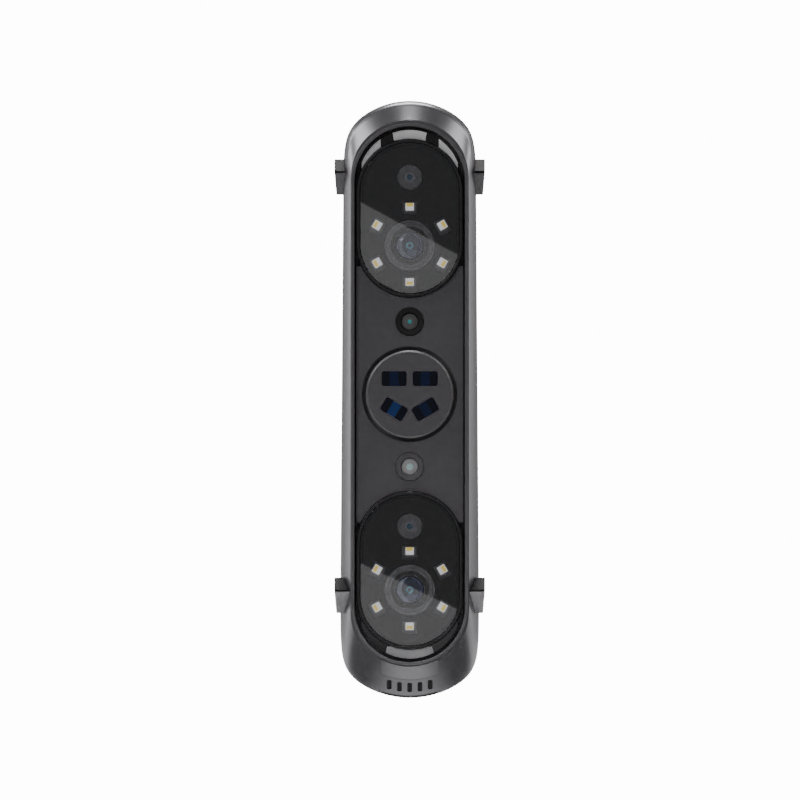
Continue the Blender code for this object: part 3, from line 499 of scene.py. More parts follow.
# %% Sections of the body
LIP_R, CHAMFER_R, CHAMFER_D, BAND_D, CHIN_D, SPLIT_D = 27.3, 35.4, 8, 20, 22, 28
HALF_W_TOP, HALF_W_CHIN, HEAD_R, CHIN_R, END_Z = 31.2, 32.6, 37.9, 43, 99.55
FLANK_POWER, END_ROUNDING, WALL, GAP = 1.7, 12, 2.4, 0.3
SHOULDER_D, NECK_D, GRIP_HALF_W, GRIP_END_Z, SHELL_BACK_D, BACK_ROUND = 34, 60, 18, 80, 83.7, 7


def mix(a, b, share):
    return a + (b - a) * share


def ease(share):
    share = min(max(share, 0), 1)
    return share * share * (3 - 2 * share)


def reach(half_w, end_r, turn):
    """How far the outline lies from an end arc's centre, at an angle from straight up."""
    if end_r <= half_w:
        return end_r
    side = abs(math.sin(turn)) ** END_ROUNDING * (half_w ** -END_ROUNDING - end_r ** -END_ROUNDING)
    return (end_r ** -END_ROUNDING + side) ** (-1 / END_ROUNDING)


def front_section(depth, inset=0.0):
    """Depth, half-widths above and below, reach of head and chin, and the end arcs' height."""
    flank = 1 - (1 - min(depth / SPLIT_D, 1)) ** FLANK_POWER
    if depth < CHAMFER_D:
        head = mix(LIP_R, CHAMFER_R, depth / CHAMFER_D)
    else:
        share = 1 - min((depth - CHAMFER_D) / (BAND_D - CHAMFER_D), 1)
        head = mix(CHAMFER_R, HEAD_R, math.sqrt(1 - share * share))
    chin = mix(LIP_R, CHIN_R, math.sin(math.pi / 2 * min(depth / CHIN_D, 1)))
    sizes = mix(LIP_R, HALF_W_TOP, flank), mix(LIP_R, HALF_W_CHIN, flank), head, chin
    return depth, *[size - inset for size in sizes], END_Z


def rear_section(depth, grow=0.0, bend=0.0):
    """A section of the rear shell, or of a surface outside or inside it. bend is in degrees round
    the edge of its back."""
    share = ease((depth - SHOULDER_D) / (NECK_D - SHOULDER_D))
    round_r = BACK_ROUND + grow
    shrink = grow - round_r * (1 - math.cos(math.radians(bend)))
    at_shoulder = HALF_W_TOP, HALF_W_CHIN, HEAD_R, CHIN_R
    sizes = [mix(size, GRIP_HALF_W, share) + shrink for size in at_shoulder]
    return (depth + round_r * math.sin(math.radians(bend)), *sizes, mix(END_Z, GRIP_END_Z, share))


def rear_sections(start, grow=0.0, steps=26):
    """All sections of the rear from a depth to its rounded back."""
    straight = SHELL_BACK_D - BACK_ROUND
    depths = [start] + [SHOULDER_D + (NECK_D - SHOULDER_D) * i / steps for i in range(steps + 1)]
    rings = [rear_section(depth, grow) for depth in [*depths, straight] if depth >= start]
    return rings + [rear_section(straight, grow, 90 * i / 8) for i in range(1, 9)]


# %% Skin over sections
def skin(sections, closed=False, sides=192):
    """One ring of points, extruded from section to section. Its ends are filled, or joined."""
    own = bmesh.new()
    turn_of = own.verts.layers.float.new("turn")
    bmesh.ops.create_circle(own, segments=sides, radius=1)
    for vert in own.verts:
        vert[turn_of] = math.atan2(vert.co.x, vert.co.y) + math.pi / sides
    first = ring = own.edges[:]

    def fit(verts, section):
        depth, top_w, chin_w, head, chin, end_z = section
        for vert in verts:
            turn = vert[turn_of]
            up = math.cos(turn) > 0
            far = reach(top_w, head, turn) if up else reach(chin_w, chin, turn)
            vert.co = (far * math.sin(turn), depth, (end_z if up else -end_z) + far * math.cos(turn))

    fit(own.verts, sections[0])
    for section in sections[1:]:
        drawn = bmesh.ops.extrude_edge_only(own, edges=ring)["geom"]
        verts = {item for item in drawn if isinstance(item, bmesh.types.BMVert)}
        ring = [item for item in drawn if isinstance(item, bmesh.types.BMEdge)
                and item.verts[0] in verts and item.verts[1] in verts]
        fit(verts, section)
    if closed:
        bmesh.ops.bridge_loops(own, edges=first + ring)
    else:
        bmesh.ops.contextual_create(own, geom=first)
        bmesh.ops.contextual_create(own, geom=ring)
    own.verts.layers.float.remove(turn_of)
    bmesh.ops.recalc_face_normals(own, faces=own.faces)
    return own


print("body sections from", front_section(1.5)[0], "to", round(rear_sections(SPLIT_D)[-1][0], 2), "mm")

# %% [markdown]
# ## Front housing
# On the real scanner this is one moulding with a satin metallic coat. Its skin is a closed shell:
# out over the outer surface, in behind the split, and back along the inside to the mouth that
# holds the lip. Then the pocket for the chin's insert, the air vents, the seats of the four lugs
# and the cable notch are cut into it.

# %% Front housing skin
RIM_D, MOUTH_R, MOUTH_D = 1.5, 26.5, 8
outer_depths = [RIM_D, 2, 3, 4, 5, 6, 7, 7.8, 8.02, 8.08, 8.2, 8.4, 8.8, 9.3, 10, 11, 12, 13.5, 15,
                16.5, 18, 19, CHIN_D - 2, CHIN_D - 1, CHIN_D, 24, 26, SPLIT_D]
inner_depths = [SPLIT_D, 25, 22, 19, 16, 13, 11, 10, 9]


def round_mouth(depth):
    return depth, MOUTH_R, MOUTH_R, MOUTH_R, MOUTH_R, END_Z


housing_work = skin([front_section(depth) for depth in outer_depths]
                    + [front_section(depth, WALL) for depth in inner_depths]
                    + [round_mouth(MOUTH_D), round_mouth(RIM_D)], closed=True)
soften(housing_work, 0.22, 3, 55)


# %% [markdown]
# The insert, the pocket and the notch all follow the body's curved skin. A tool is first drawn
# straight out from the front, and then trimmed with the skin itself, moved inwards by the depth
# of the pocket. This way the floor of the pocket keeps the same depth all over.

# %% Tools that follow the skin
def core(inset):
    depths = [0.01, 1, 2, 3, 4, 5, 6, 7, 8, 9, 10.5, 12, 14, 16, 18, 20, 22, 25, 30]
    return skin([front_section(depth, inset) for depth in depths])


def chin_sector(low_r, high_r, width, front, back):
    """A block between two arcs about the chin's centre, as wide as this."""
    ring = cut(thick(disc(high_r, 0, -END_Z, 192), front, back, 0),
               thick(disc(low_r, 0, -END_Z, 192), front - 1, back + 1, 0))
    return shared(ring, thick(oblong(width, 30, 0, 0, -END_Z - 30), front - 1, back + 1, 0))


def block(low, high):
    """A box between two corners."""
    own = bmesh.new()
    size = Vector(high) - Vector(low)
    middle = (Vector(high) + Vector(low)) / 2
    bmesh.ops.create_cube(own, size=1, matrix=Matrix.Translation(middle) @ Matrix.Diagonal((*size, 1)))
    return own


INSERT_R, INSERT_W, INSERT_T = (27.9, 34.1), 27, 1.6
VENTS, VENT_PITCH, VENT_W, VENT_LONG, VENT_R = 5, 4.8, 2.2, 4.4, 35.6
PORT_W, PORT_D, PORT_DEEP, PORT_WALL = 28.5, (16, 27), 9, 1.2
bottom_z = -END_Z - CHIN_R
pocket = cut(chin_sector(INSERT_R[0] - 0.15, INSERT_R[1] + 0.15, INSERT_W + 0.3, -2, CHIN_D),
             core(INSERT_T + 0.1))
notch = block((-PORT_W / 2, PORT_D[0], bottom_z - 2), (PORT_W / 2, PORT_D[1], bottom_z + PORT_DEEP))


def vent(i, grow=0.0, front=4, back=24):
    x = (i - (VENTS - 1) / 2) * VENT_PITCH
    high = -END_Z - math.sqrt(VENT_R ** 2 - x * x)
    return thick(oblong(VENT_W + 2 * grow, VENT_LONG + 2 * grow, 0.7 + grow, x, high - VENT_LONG / 2),
                 front, back, 0)


# %% [markdown]
# The lugs are small wedges that plug into the sides. Their section is drawn once in the side view
# and pulled sideways. A seat a little larger than the lug leaves the fine dark seam round it.

# %% Lug section
LUG_X, LUG_UP, LUG_DOWN, LUG_DEEP, LUG_EDGE = 35.3, 6.1, 10.6, 12, 0.8
LUGS = {"upper": (104, 14, 27.4), "lower": (-92, 2.4, 26.8)}


def lug_prism(way, x_in, x_out, ridge_z, ridge_d, grow=0.0, edge=0.0):
    front, back = ridge_d - grow, ridge_d + LUG_DEEP + grow
    rim = LUG_EDGE + grow
    section = [(front, ridge_z + rim / 2), (front, ridge_z - rim), (back - rim, ridge_z - LUG_DOWN - grow),
               (back, ridge_z - LUG_DOWN - grow), (back, ridge_z + LUG_UP + grow),
               (back - 2 * rim, ridge_z + LUG_UP + grow)]
    own = bmesh.new()
    face = own.faces.new([own.verts.new((way * x_in, depth, z)) for depth, z in section])
    drawn = bmesh.ops.extrude_face_region(own, geom=[face])
    far = [item for item in drawn["geom"] if isinstance(item, bmesh.types.BMVert)]
    bmesh.ops.translate(own, verts=far, vec=(way * (x_out - x_in), 0, 0))
    for vert in own.verts:
        if abs(vert.co.x) > 30:
            vert.co.x -= way * 0.085 * max(0, ridge_z - vert.co.z)
    bmesh.ops.recalc_face_normals(own, faces=own.faces)
    return soften(own, edge, 4, 25) if edge else own


# %% Cut and settle the front housing
lug_seats = [lug_prism(way, 26.65, LUG_X + 2, ridge_z, ridge_d, 0.15)
             for ridge_z, ridge_d, _ in LUGS.values() for way in (-1, 1)]
housing_work = cut(housing_work, pocket, notch, *[vent(i) for i in range(VENTS)], *lug_seats)
settle(housing_work, "housing_front", GUNMETAL, ["front_housing"])

insert_work = cut(shared(chin_sector(*INSERT_R, INSERT_W, 0, CHIN_D), core(0)), core(INSERT_T))
settle(insert_work, "insert_in_chin", INSERT_GREY, ["chin_insert"])



def port_block(gap, low_z):
    """A block that stands this far inside the notch, open towards the bottom."""
    return block((gap - PORT_W / 2, PORT_D[0] + gap, low_z),
                 (PORT_W / 2 - gap, PORT_D[1] - gap, bottom_z + PORT_DEEP - gap))


# The cup takes the lip's mid grey instead of a black: painted light for the light that reaches inside it.
cup_work = shared(port_block(GAP, bottom_z - 2), core(GAP))
hollow = port_block(GAP + PORT_WALL, bottom_z - 4)
settle(cut(cup_work, hollow), "cup_of_port", LIP_GREY, ["port_cup"])

# %% Lugs
for level, (ridge_z, ridge_d, x_in) in LUGS.items():
    for hand, way in (("left", -1), ("right", 1)):
        lug = lug_prism(way, x_in, LUG_X, ridge_z, ridge_d, 0, 1.1)
        lug.normal_update()
        # Faces that look down and forwards take a lighter grey and the rest a near black: painted light and
        # painted shade set by which way a face looks.
        for face in lug.faces:
            face.material_index = int(face.normal.y < -0.05 and face.normal.z < 0)
        settle(lug, f"lug_{level}_{hand}", [LUG_PAINTED_SHADE, LUG_PAINTED_LIGHT if level == "upper" else LUG_PAINTED_BRIGHT_LIGHT],
               [f"{level}_{hand}_lug"])

# %% [markdown]
# ## Lip, panel and end trims
# The lip is a dark ring that follows the whole face, with a groove inside it whose faces carry a
# painted shade. It is spun as one profile. The grey panel between the windows is a flat sheet with
# the windows, the laser well and the two eyes stamped out of it. Past each window a glossy crescent
# closes the face, and a pale tab lies in its middle: a painted reflection of the lights, brighter on
# the upper end, where two more painted reflections flank it.

# %% Lip and panel
lip = turned([(LIP_R, 0), (LIP_R, 1.2), (26.2, 1.2), (26.2, 7), (23.6, 7), (23.6, 5.6), (25.3, 5.6),
              (25.9, 1.2), (25.9, 0)], 192, (-END_Z, END_Z))
lip = soften(lip, 0.2, 3, 40)
# The faces behind the lip's front, down in the groove, take a darker grey: painted shade.
for face in lip.faces:
    face.material_index = 1 if face.calc_center_median().y > 0.5 else 0
settle(lip, "lip_ring", [LIP_GREY, GROOVE_PAINTED_SHADE], ["front_bezel"])

WINDOW_R, TRIM_R, WELL_R, EYE_R, EYE_Z = 24.7, 24.2, 22.3, 6.6, 33.95
PANEL_HALF, HORN_Z, PANEL_D, PANEL_T = 25.1, 60, 2.4, 2.2
WINDOW_ENDS = {"upper": (70.3, 94.6), "lower": (-94.6, -70.3)}
panel = thick(oblong(2 * PANEL_HALF, 2 * HORN_Z), PANEL_D, PANEL_D + PANEL_T, 0)
holes = [punch(disc(WINDOW_R + GAP, steps=128, stretch=ends)) for ends in WINDOW_ENDS.values()]
holes.append(punch(disc(WELL_R, steps=128)))
holes += [punch(disc(EYE_R + 0.1, 0, way * EYE_Z)) for way in (1, -1)]
panel = soften(cut(panel, *holes), 0.15, 2, 60, only_rims=True)
settle(panel, "panel_front", PANEL_GREY, ["front_panel"])

# %% End trims with their painted reflection tabs
TRIM_D, TRIM_T, TRIM_HALF = 3, 2, 22.5
TABS = {"upper": (7.2, 8.6), "lower": (10.6, 12.2)}
for side, way in (("upper", 1), ("lower", -1)):
    trim = cut(thick(disc(TRIM_R, 0, way * END_Z, 192), TRIM_D, TRIM_D + TRIM_T, 0),
               punch(disc(WINDOW_R + GAP, steps=128, stretch=WINDOW_ENDS[side])))
    low_z, high_z = sorted((way * 100, way * 130))
    trim = shared(trim, block((-TRIM_HALF, 0, low_z), (TRIM_HALF, 10, high_z)))
    near, far = TABS[side]
    # Each wedge marks a painted reflection on the trim: a tab in the middle, and on the upper trim two more
    # at its sides.
    wedges = [[(-near, 118), (near, 118), (far, 125), (-far, 125)]]
    if side == "upper":
        wedges += [[(x * hand, z) for x, z in ((13.6, 100), (24, 100), (24, 125), (13.6, 125))]
                   for hand in (-1, 1)]
    tabs, rest = None, trim.copy()
    for corners in wedges:
        wedge = bmesh.new()
        wedge.faces.new([wedge.verts.new((x, 0, way * z)) for x, z in corners])
        wedge = punch(wedge)
        tab = shared(trim.copy(), wedge.copy())
        bmesh.ops.translate(tab, verts=tab.verts, vec=(0, -0.25, 0))
        tabs = merged(tabs, soften(tab, 0.12, 2, 60))
        rest = cut(rest, wedge)
    trim.free()
    # The upper tabs are painted brighter than the lower ones: painted reflection of the stronger light from
    # above.
    settle(tabs, f"tab_{side}", TAB_PAINTED_REFLECTION if side == "upper" else TAB_DIM_PAINTED_REFLECTION)
    settle(soften(rest, 0.12, 2, 60), f"trim_{side}", GLOSS_BLACK, [f"{side}_end_trim"])

# %% [markdown]
# ## Stereo windows
# Behind each window sit a main camera, a smaller one, and six lamps round the main lens. The glass
# is a separate pane in a black frame, and a black mask hides everything but the lenses and the
# lamps. A painted picture behind the glass would look flat from the side, so each part is made at
# its own depth.

# %% Frame, glass and mask of a window
WINDOW_D, GLASS_R, GLASS_D, GLASS_T, LEDGE_D, RIM_T = 0.9, 23.1, 1.2, 1.5, 3.0, 1.2
MASK_R, MASK_D, MASK_T, BOARD_D, BOARD_T = 22.5, 4.5, 0.8, 6.1, 1.6
LAMPS, LAMP_ORBIT, POCKET, LAMP_SIZE, LAMP_UP = 6, 17.6, (7.4, 6.1), 3.9, 0.7
LEDGE_R, OPENING_R = 21.8, 23.4
MAIN_R, MAIN_LENS_R, SIDE_R, SIDE_LENS_R = 11.8, 6.6, 5.9, 2.6


def middle_of(node):
    low, high = span(node)
    return (low.z + high.z) / 2


def lamp_places(z):
    for i in range(LAMPS):
        turn = 90 + 360 * i / LAMPS
        way = math.radians(turn)
        yield LAMP_ORBIT * math.cos(way), z + LAMP_ORBIT * math.sin(way), turn - 90


def window(side):
    ends = WINDOW_ENDS[side]
    rim = turned([(WINDOW_R, WINDOW_D), (WINDOW_R, LEDGE_D + RIM_T), (LEDGE_R, LEDGE_D + RIM_T),
                  (LEDGE_R, LEDGE_D), (OPENING_R, LEDGE_D), (OPENING_R, WINDOW_D)], 128, ends)
    settle(soften(rim, 0.22, 3, 40), f"window_rim_{side}", RIM_BLACK, [f"{side}_window_bezel"])
    settle(thick(disc(GLASS_R, steps=128, stretch=ends), GLASS_D, GLASS_D + GLASS_T, 0.15),
           f"window_pane_{side}", WINDOW, [f"{side}_window_glass"])
    main_z, side_z = middle_of(f"{side}_main_lens"), middle_of(f"{side}_side_lens")
    lens_holes = [disc(MAIN_R + 0.15, 0, main_z, 96), disc(SIDE_R + 0.15, 0, side_z)]
    pockets = [oblong(*POCKET, 0.5, x, z, turn) for x, z, turn in lamp_places(main_z)]
    mask = thick(disc(MASK_R, steps=128, stretch=ends), MASK_D, MASK_D + MASK_T, 0)
    mask = cut(mask, *[punch(hole) for hole in lens_holes + pockets])
    settle(mask, f"mask_{side}", MASK_BLACK, [f"{side}_lamp_mask"])
    board = cut(thick(disc(LEDGE_R, steps=128, stretch=ends), BOARD_D, BOARD_D + BOARD_T, 0),
                punch(disc(MAIN_R + 0.3, 0, main_z, 96), 0, 12),
                punch(disc(SIDE_R + 0.3, 0, side_z), 0, 12))
    settle(board, f"board_{side}", POCKET_GREY, [f"{side}_lamp_board"])
    lamps(side, main_z)
    main_camera(side, main_z)
    side_camera(side, side_z)


# %% [markdown]
# Each lamp is a white ceramic square with a stripe of yellow phosphor, in a shallow pocket with a
# step round it. The step, the squares and the stripes are each one mesh for all six lamps.

# %% Lamps
STRIPE_OFF = 0.75


def lamps(side, main_z):
    steps = squares = stripes = None
    for x, z, turn in lamp_places(main_z):
        ring = cut(thick(oblong(POCKET[0] - 0.1, POCKET[1] - 0.1, 0.5, x, z, turn), 4.95, 6.05, 0.1),
                   thick(oblong(POCKET[0] - 1.5, POCKET[1] - 1.5, 0.3, x, z, turn), 4, 8, 0))
        steps = merged(steps, ring)
        square = oblong(LAMP_SIZE, LAMP_SIZE, 0.25, x, z + LAMP_UP, turn)
        squares = merged(squares, thick(square, 5.1, 6.1, 0.15))
        way = math.radians(turn + 90)
        stripe = oblong(3.1, 1.6, 0.2, x + STRIPE_OFF * math.cos(way),
                        z + LAMP_UP + STRIPE_OFF * math.sin(way), turn)
        stripes = merged(stripes, thick(stripe, 4.98, 5.2, 0.04))
    settle(steps, f"lamp_steps_{side}", POCKET_GREY)
    settle(squares, f"lamps_{side}", LAMP_WHITE)
    settle(stripes, f"lamp_phosphor_{side}", LAMP_YELLOW)


# %% [markdown]
# A lens looks deep because its rings step inwards, each with its own shade. The front of the barrel
# is a flat ring under the glass, then a conical throat leads down to the domed lens, and a small
# core in the middle stands for the iris and the glass behind it; its brightness is a painted glow,
# a painted reflection.

# %% Cameras
RING_GREY = finish("barrel_ring_grey", (0.55, 0.545, 0.555), 0.4, grain=1500, bump=0.05)
RING_LIGHT = finish("barrel_edge_light", (0.62, 0.62, 0.63), 0.34, metal=0.3, grain=1500, bump=0.05)
THROAT = finish("throat_brown_black", (0.16, 0.145, 0.138), 0.4, grain=2400, bump=0.15)


def main_camera(side, z):
    front = LEDGE_D
    barrel = turned([(0, front + 19), (11.7, front + 19), (11.7, front + 0.3), (11.45, front + 0.05),
                     (10.9, front + 0.05), (10.75, front + 0.25), (9.0, front + 0.35), (7.4, front + 0.9),
                     (7.1, front + 1.4), (6.9, front + 1.6), (6.9, front + 5.2), (0, front + 5.2)],
                    128, at=(0, z))
    settle(barrel, f"main_barrel_{side}", RING_GREY, [f"{side}_main_lens_barrel"])
    settle(turned([(10.95, front - 0.02), (11.6, front - 0.02), (11.75, front + 0.12), (11.75, front + 0.25),
                   (10.85, front + 0.25), (10.85, front + 0.08)], 128, at=(0, z)),
           f"main_edge_{side}", RING_LIGHT)
    settle(turned([(8.95, front + 0.32), (8.95, front + 0.6), (7.3, front + 1.2), (7.3, front + 0.85)],
                  128, at=(0, z)), f"main_throat_{side}", THROAT)
    settle(lens_body(z), f"main_lens_{side}", LENS_BLUE, [f"{side}_main_lens"])
    core = [(1.7, 4.45), (1.7, 4.8), (0.9, 4.8), (0.9, 4.45)]
    settle(soften(turned(core, 64, at=(0, z)), 0.08, 2, 40), f"main_core_{side}", CORE_PAINTED_GLEAM)
    painted_gleams(side, z)


def lens_body(z, lift=0.0, radius=MAIN_LENS_R):
    """A domed lens. A small lift gives the same dome just in front of itself."""
    dome = [(radius * math.sin(math.radians(a)) / math.sin(math.radians(40)),
             4.6 - lift + 6.0 * (1 - math.cos(math.radians(a)))) for a in (0, 6, 12, 18, 24, 30, 35, 40)]
    return turned([*dome, (radius, 8.0), (0, 8.0)], 96, at=(0, z))


# %% [markdown]
# Coated glass shows pale blue shapes where its inner elements catch a lamp. Here they are painted
# reflections in a pale blue finish: a crescent on one side, a thin one across from it, and a patch
# below. Each is a skin of the dome itself, cropped to its outline, so that it stays on the glass
# from every side.

# %% Painted reflections on the coating
PAINTED_GLEAM = coated("painted_gleam_pale_blue", (0.75, 0.85, 0.99), (0.6, 0.72, 0.9), 0.2)
PAINTED_GLEAM_DIM = coated("painted_gleam_dim_blue", (0.42, 0.5, 0.76), (0.32, 0.38, 0.62), 0.2)
GLEAM_R = 6.5


def painted_gleams(side, z):
    def crescent(radius, bite, x, up):
        """A disc with a second disc, moved sideways and up, bitten out of it."""
        return cut(thick(disc(radius, 0, z, 96), 0, 7, 0), thick(disc(bite, x, z + up, 96), -1, 8, 0))

    patch = thick(oblong(4.4, 3.0, 0.3, 0.9, z - 3.4, -14), 0, 7, 0)
    outlines = [("left", crescent(6.0, 6.2, 2.6, 0.6), 0.05, PAINTED_GLEAM),
                ("right", crescent(6.1, 6.1, -0.9, -0.3), 0.04, PAINTED_GLEAM_DIM),
                ("below", patch, 0.06, PAINTED_GLEAM_DIM)]
    # Each outline gets a pale blue finish: a painted reflection on the lens.
    for place, outline, lift, coating in outlines:
        gleam = shared(lens_body(z, lift, GLEAM_R), outline)
        settle(gleam, f"gleam_{place}_{side}", coating)


def side_camera(side, z):
    front = LEDGE_D
    barrel = turned([(0, 12.9), (5.8, 12.9), (5.8, front + 0.25), (5.6, front + 0.05), (3.0, front + 0.12),
                     (2.75, front + 0.5), (2.75, 7.7), (0, 7.7)], 96, at=(0, z))
    settle(barrel, f"side_barrel_{side}", RING_GREY, [f"{side}_side_lens_barrel"])
    # The ring round the side lens sits in shade; its glow is painted light.
    settle(turned([(1.35, front + 0.8), (2.5, front + 0.3), (2.65, front + 0.45), (2.65, front + 2.6),
                   (1.35, front + 2.6)], 64, at=(0, z)), f"side_ring_{side}", SIDE_RING_PAINTED_LIGHT)
    lens = turned([(0, 4.6), (0.8, 4.7), (1.5, 5.0), (2.1, 5.6), (SIDE_LENS_R, 6.4), (SIDE_LENS_R, 7.7),
                   (0, 7.7)], 64, at=(0, z))
    settle(lens, f"side_lens_{side}", LENS_CORE, [f"{side}_side_lens"])


for side in ("upper", "lower"):
    window(side)

# %% [markdown]
# ## Texture camera and projector
# Two small eyes look out through the panel. The one above is a dark camera with a teal gleam, and
# the one below is a projector, with a pale lens in a grey ring.

# %% The two eyes
EYE_D = 2.0


def eye(name, z, ring, glass, dot, dot_r):
    barrel = turned([(0, EYE_D + 14), (6.5, EYE_D + 14), (6.5, EYE_D + 0.2), (6.3, EYE_D), (4.4, EYE_D + 0.1),
                     (4.1, EYE_D + 0.5), (4.1, EYE_D + 5.2), (0, EYE_D + 5.2)], 96, at=(0, z))
    settle(barrel, f"{name}_ring", ring, [f"{name}_lens_barrel"])
    lens = turned([(0, 2.95), (1.8, 2.96), (3.3, 3.02), (3.7, 3.1), (3.85, 3.3), (3.85, 6.9), (0, 6.9)],
                  96, at=(0, z))
    settle(lens, f"{name}_glass", glass, [f"{name}_lens"])
    settle(turned([(0, 2.8), (dot_r * 0.6, 2.82), (dot_r, 2.94), (dot_r, 3.1), (0, 3.1)], 48, at=(0, z)),
           f"{name}_core", dot)


eye("texture_camera", EYE_Z, DEEP_BLACK, LENS_GREY, CORE_TEAL, 1.0)
eye("projector", -EYE_Z, PANEL_GREY, LENS_PALE, CORE_PALE, 1.6)

# %% [markdown]
# ## Laser disc
# A bevelled disc stands in a dark well in the middle of the face. Four small panes of blue glass are
# sunk into it, the lower two turned like a frown. Behind each pane lies a pale diffuser bar, which
# shows through the blue glass as a lighter band. The bars and the beds under them carry a painted
# glow, and the lower left bar a stronger one, a painted reflection.

# %% Disc, panes and diffusers
cover = turned([(0, 1.0), (19.8, 1.0), (20.6, 1.8), (20.6, 5.0), (23.2, 5.0), (23.2, 6.2), (0, 6.2)], 160)
pane_places = [("upper_left", -7.3, 7.3, 0), ("upper_right", 7.3, 7.3, 0),
               ("lower_left", -7.3, -7.0, -30), ("lower_right", 7.3, -7.0, 30)]
cover = cut(soften(cover, 0.12, 2, 30),
            *[thick(oblong(11.7, 6.9, 1.1, x, z, turn), -1, 6.0 + 1, 0) for _, x, z, turn in pane_places])
for face in cover.faces:
    spot = face.calc_center_median()
    away = math.hypot(spot.x, spot.z)
    face.material_index = 1 if 19.7 < away < 20.7 and spot.y < 2.1 else 0
settle(cover, "laser_disc", [PANEL_GREY, EDGE_SATIN], ["laser_cover"], degrees=28)
bars = beds = None
for name, x, z, turn in pane_places:
    settle(thick(oblong(11.3, 6.5, 1.0, x, z, turn), 1.9, 2.9, 0.12), f"laser_pane_{name}", LASER_PANE,
           [f"{name}_laser_window"])
    beds = merged(beds, thick(oblong(11.5, 6.7, 1.0, x, z, turn), 3.25, 3.45, 0.03))
    bar = thick(oblong(4.2, 6.6, 0.1, x, z, turn), 3.0, 3.2, 0.03)
    # The lower left bar glows brighter: a painted reflection.
    if name == "lower_left":
        settle(bar, "laser_diffuser_painted_reflection", LASER_BAR_PAINTED_REFLECTION)
    else:
        bars = merged(bars, bar)
settle(bars, "laser_diffusers", LASER_BAR_PAINTED_GLOW)
settle(beds, "laser_beds", LASER_BED_PAINTED_GLOW)

# %% [markdown]
# ## Rear shell and grip
# Behind the split the body narrows over a soft shoulder into a long grip that the hand closes
# round. The shell is drawn like the front one, from the inside of its back wall, out round its
# rim, and over its outside. The rubber sleeve follows the same sections two millimetres further
# out.

# %% Rear shell
KEYPAD_R, KEYPAD_Z, KEYPAD_D = 9.5, (54, 78), 84.1
rear = skin(rear_sections(SPLIT_D + GAP)[::-1] + rear_sections(SPLIT_D + GAP, -WALL))
soften(rear, 0.22, 3, 55)
tools = [thick(disc(KEYPAD_R + 0.25, steps=96, stretch=KEYPAD_Z), KEYPAD_D - 2.9 - 2, 88, 0)]
for i in range(5):
    tools.append(thick(oblong(2, 14, 0.9, (i - 2) * 4.5, -END_Z - 12), 45, NECK_D + 2, 0))
nut_low, nut_high = span("tripod_insert")
nut_d = (nut_low.y + nut_high.y) / 2


def upright(profile, depth, steps=64):
    """A turned piece whose axis stands up, from (radius, height) points."""
    own = turned([(radius, height) for radius, height in profile], steps)
    bmesh.ops.rotate(own, verts=own.verts, matrix=Matrix.Rotation(math.radians(90), 3, "X"))
    bmesh.ops.translate(own, verts=own.verts, vec=(0, depth, 0))
    bmesh.ops.recalc_face_normals(own, faces=own.faces)
    return own


NUT_SEAT_R, SCREW_SEAT_R = 5.65, 2.7
nut_seat = [(0, nut_low.z - 3), (NUT_SEAT_R, nut_low.z - 3), (NUT_SEAT_R, nut_high.z + 2),
            (0, nut_high.z + 2)]
tools.append(upright(nut_seat, nut_d))
for i in range(1, 5):
    low, high = span(f"case_screw_{i}")
    seat = turned([(0, low.x - 3), (SCREW_SEAT_R, low.x - 3), (SCREW_SEAT_R, high.x + 3),
                   (0, high.x + 3)], 48)
    bmesh.ops.rotate(seat, verts=seat.verts, matrix=Matrix.Rotation(math.radians(-90), 3, "Z"))
    bmesh.ops.translate(seat, verts=seat.verts, vec=(0, (low.y + high.y) / 2, (low.z + high.z) / 2))
    keep = block((low.x - 4 if low.x < 0 else high.x - 1.6, 0, low.z - 5),
                 (low.x + 1.6 if low.x < 0 else high.x + 4, 90, high.z + 5))
    bmesh.ops.recalc_face_normals(seat, faces=seat.faces)
    tools.append(shared(seat, keep))
settle(cut(rear, *tools), "housing_rear", GUNMETAL, ["rear_shell"])

# %% [markdown]
# ## Rubber sleeve
# The sleeve is a skin like the shell's, cropped to the length of the hand. Grooves are cut across
# its back, where the palm presses, and leave ribs between them.

# %% Sleeve with grooves
SLEEVE_Z = (-72, 38)
sleeve = skin(rear_sections(62, 2.3)[::-1] + rear_sections(62, GAP))
sleeve = shared(sleeve, block((-100, 0, SLEEVE_Z[0]), (100, 120, SLEEVE_Z[1])))
GROOVES, GROOVE_W, GROOVE_FLOOR, GROOVE_END = 12, 26, 85.45, 12
groove_at = [mix(SLEEVE_Z[0] + GROOVE_END, SLEEVE_Z[1] - GROOVE_END, i / (GROOVES - 1))
             for i in range(GROOVES)]
sleeve = cut(sleeve, *[punch(oblong(GROOVE_W, 2.0, 0.95, 0, z), GROOVE_FLOOR, 88) for z in groove_at])
settle(soften(sleeve, 0.25, 2, 60), "sleeve_of_grip", RUBBER, ["grip_sleeve"])

# %% [markdown]
# ## Keys
# Each key slides straight in, so each rides on its own body. The large button starts a scan, and
# the four small ones form a cross. Their tops are dished a little, which a fingertip can feel.

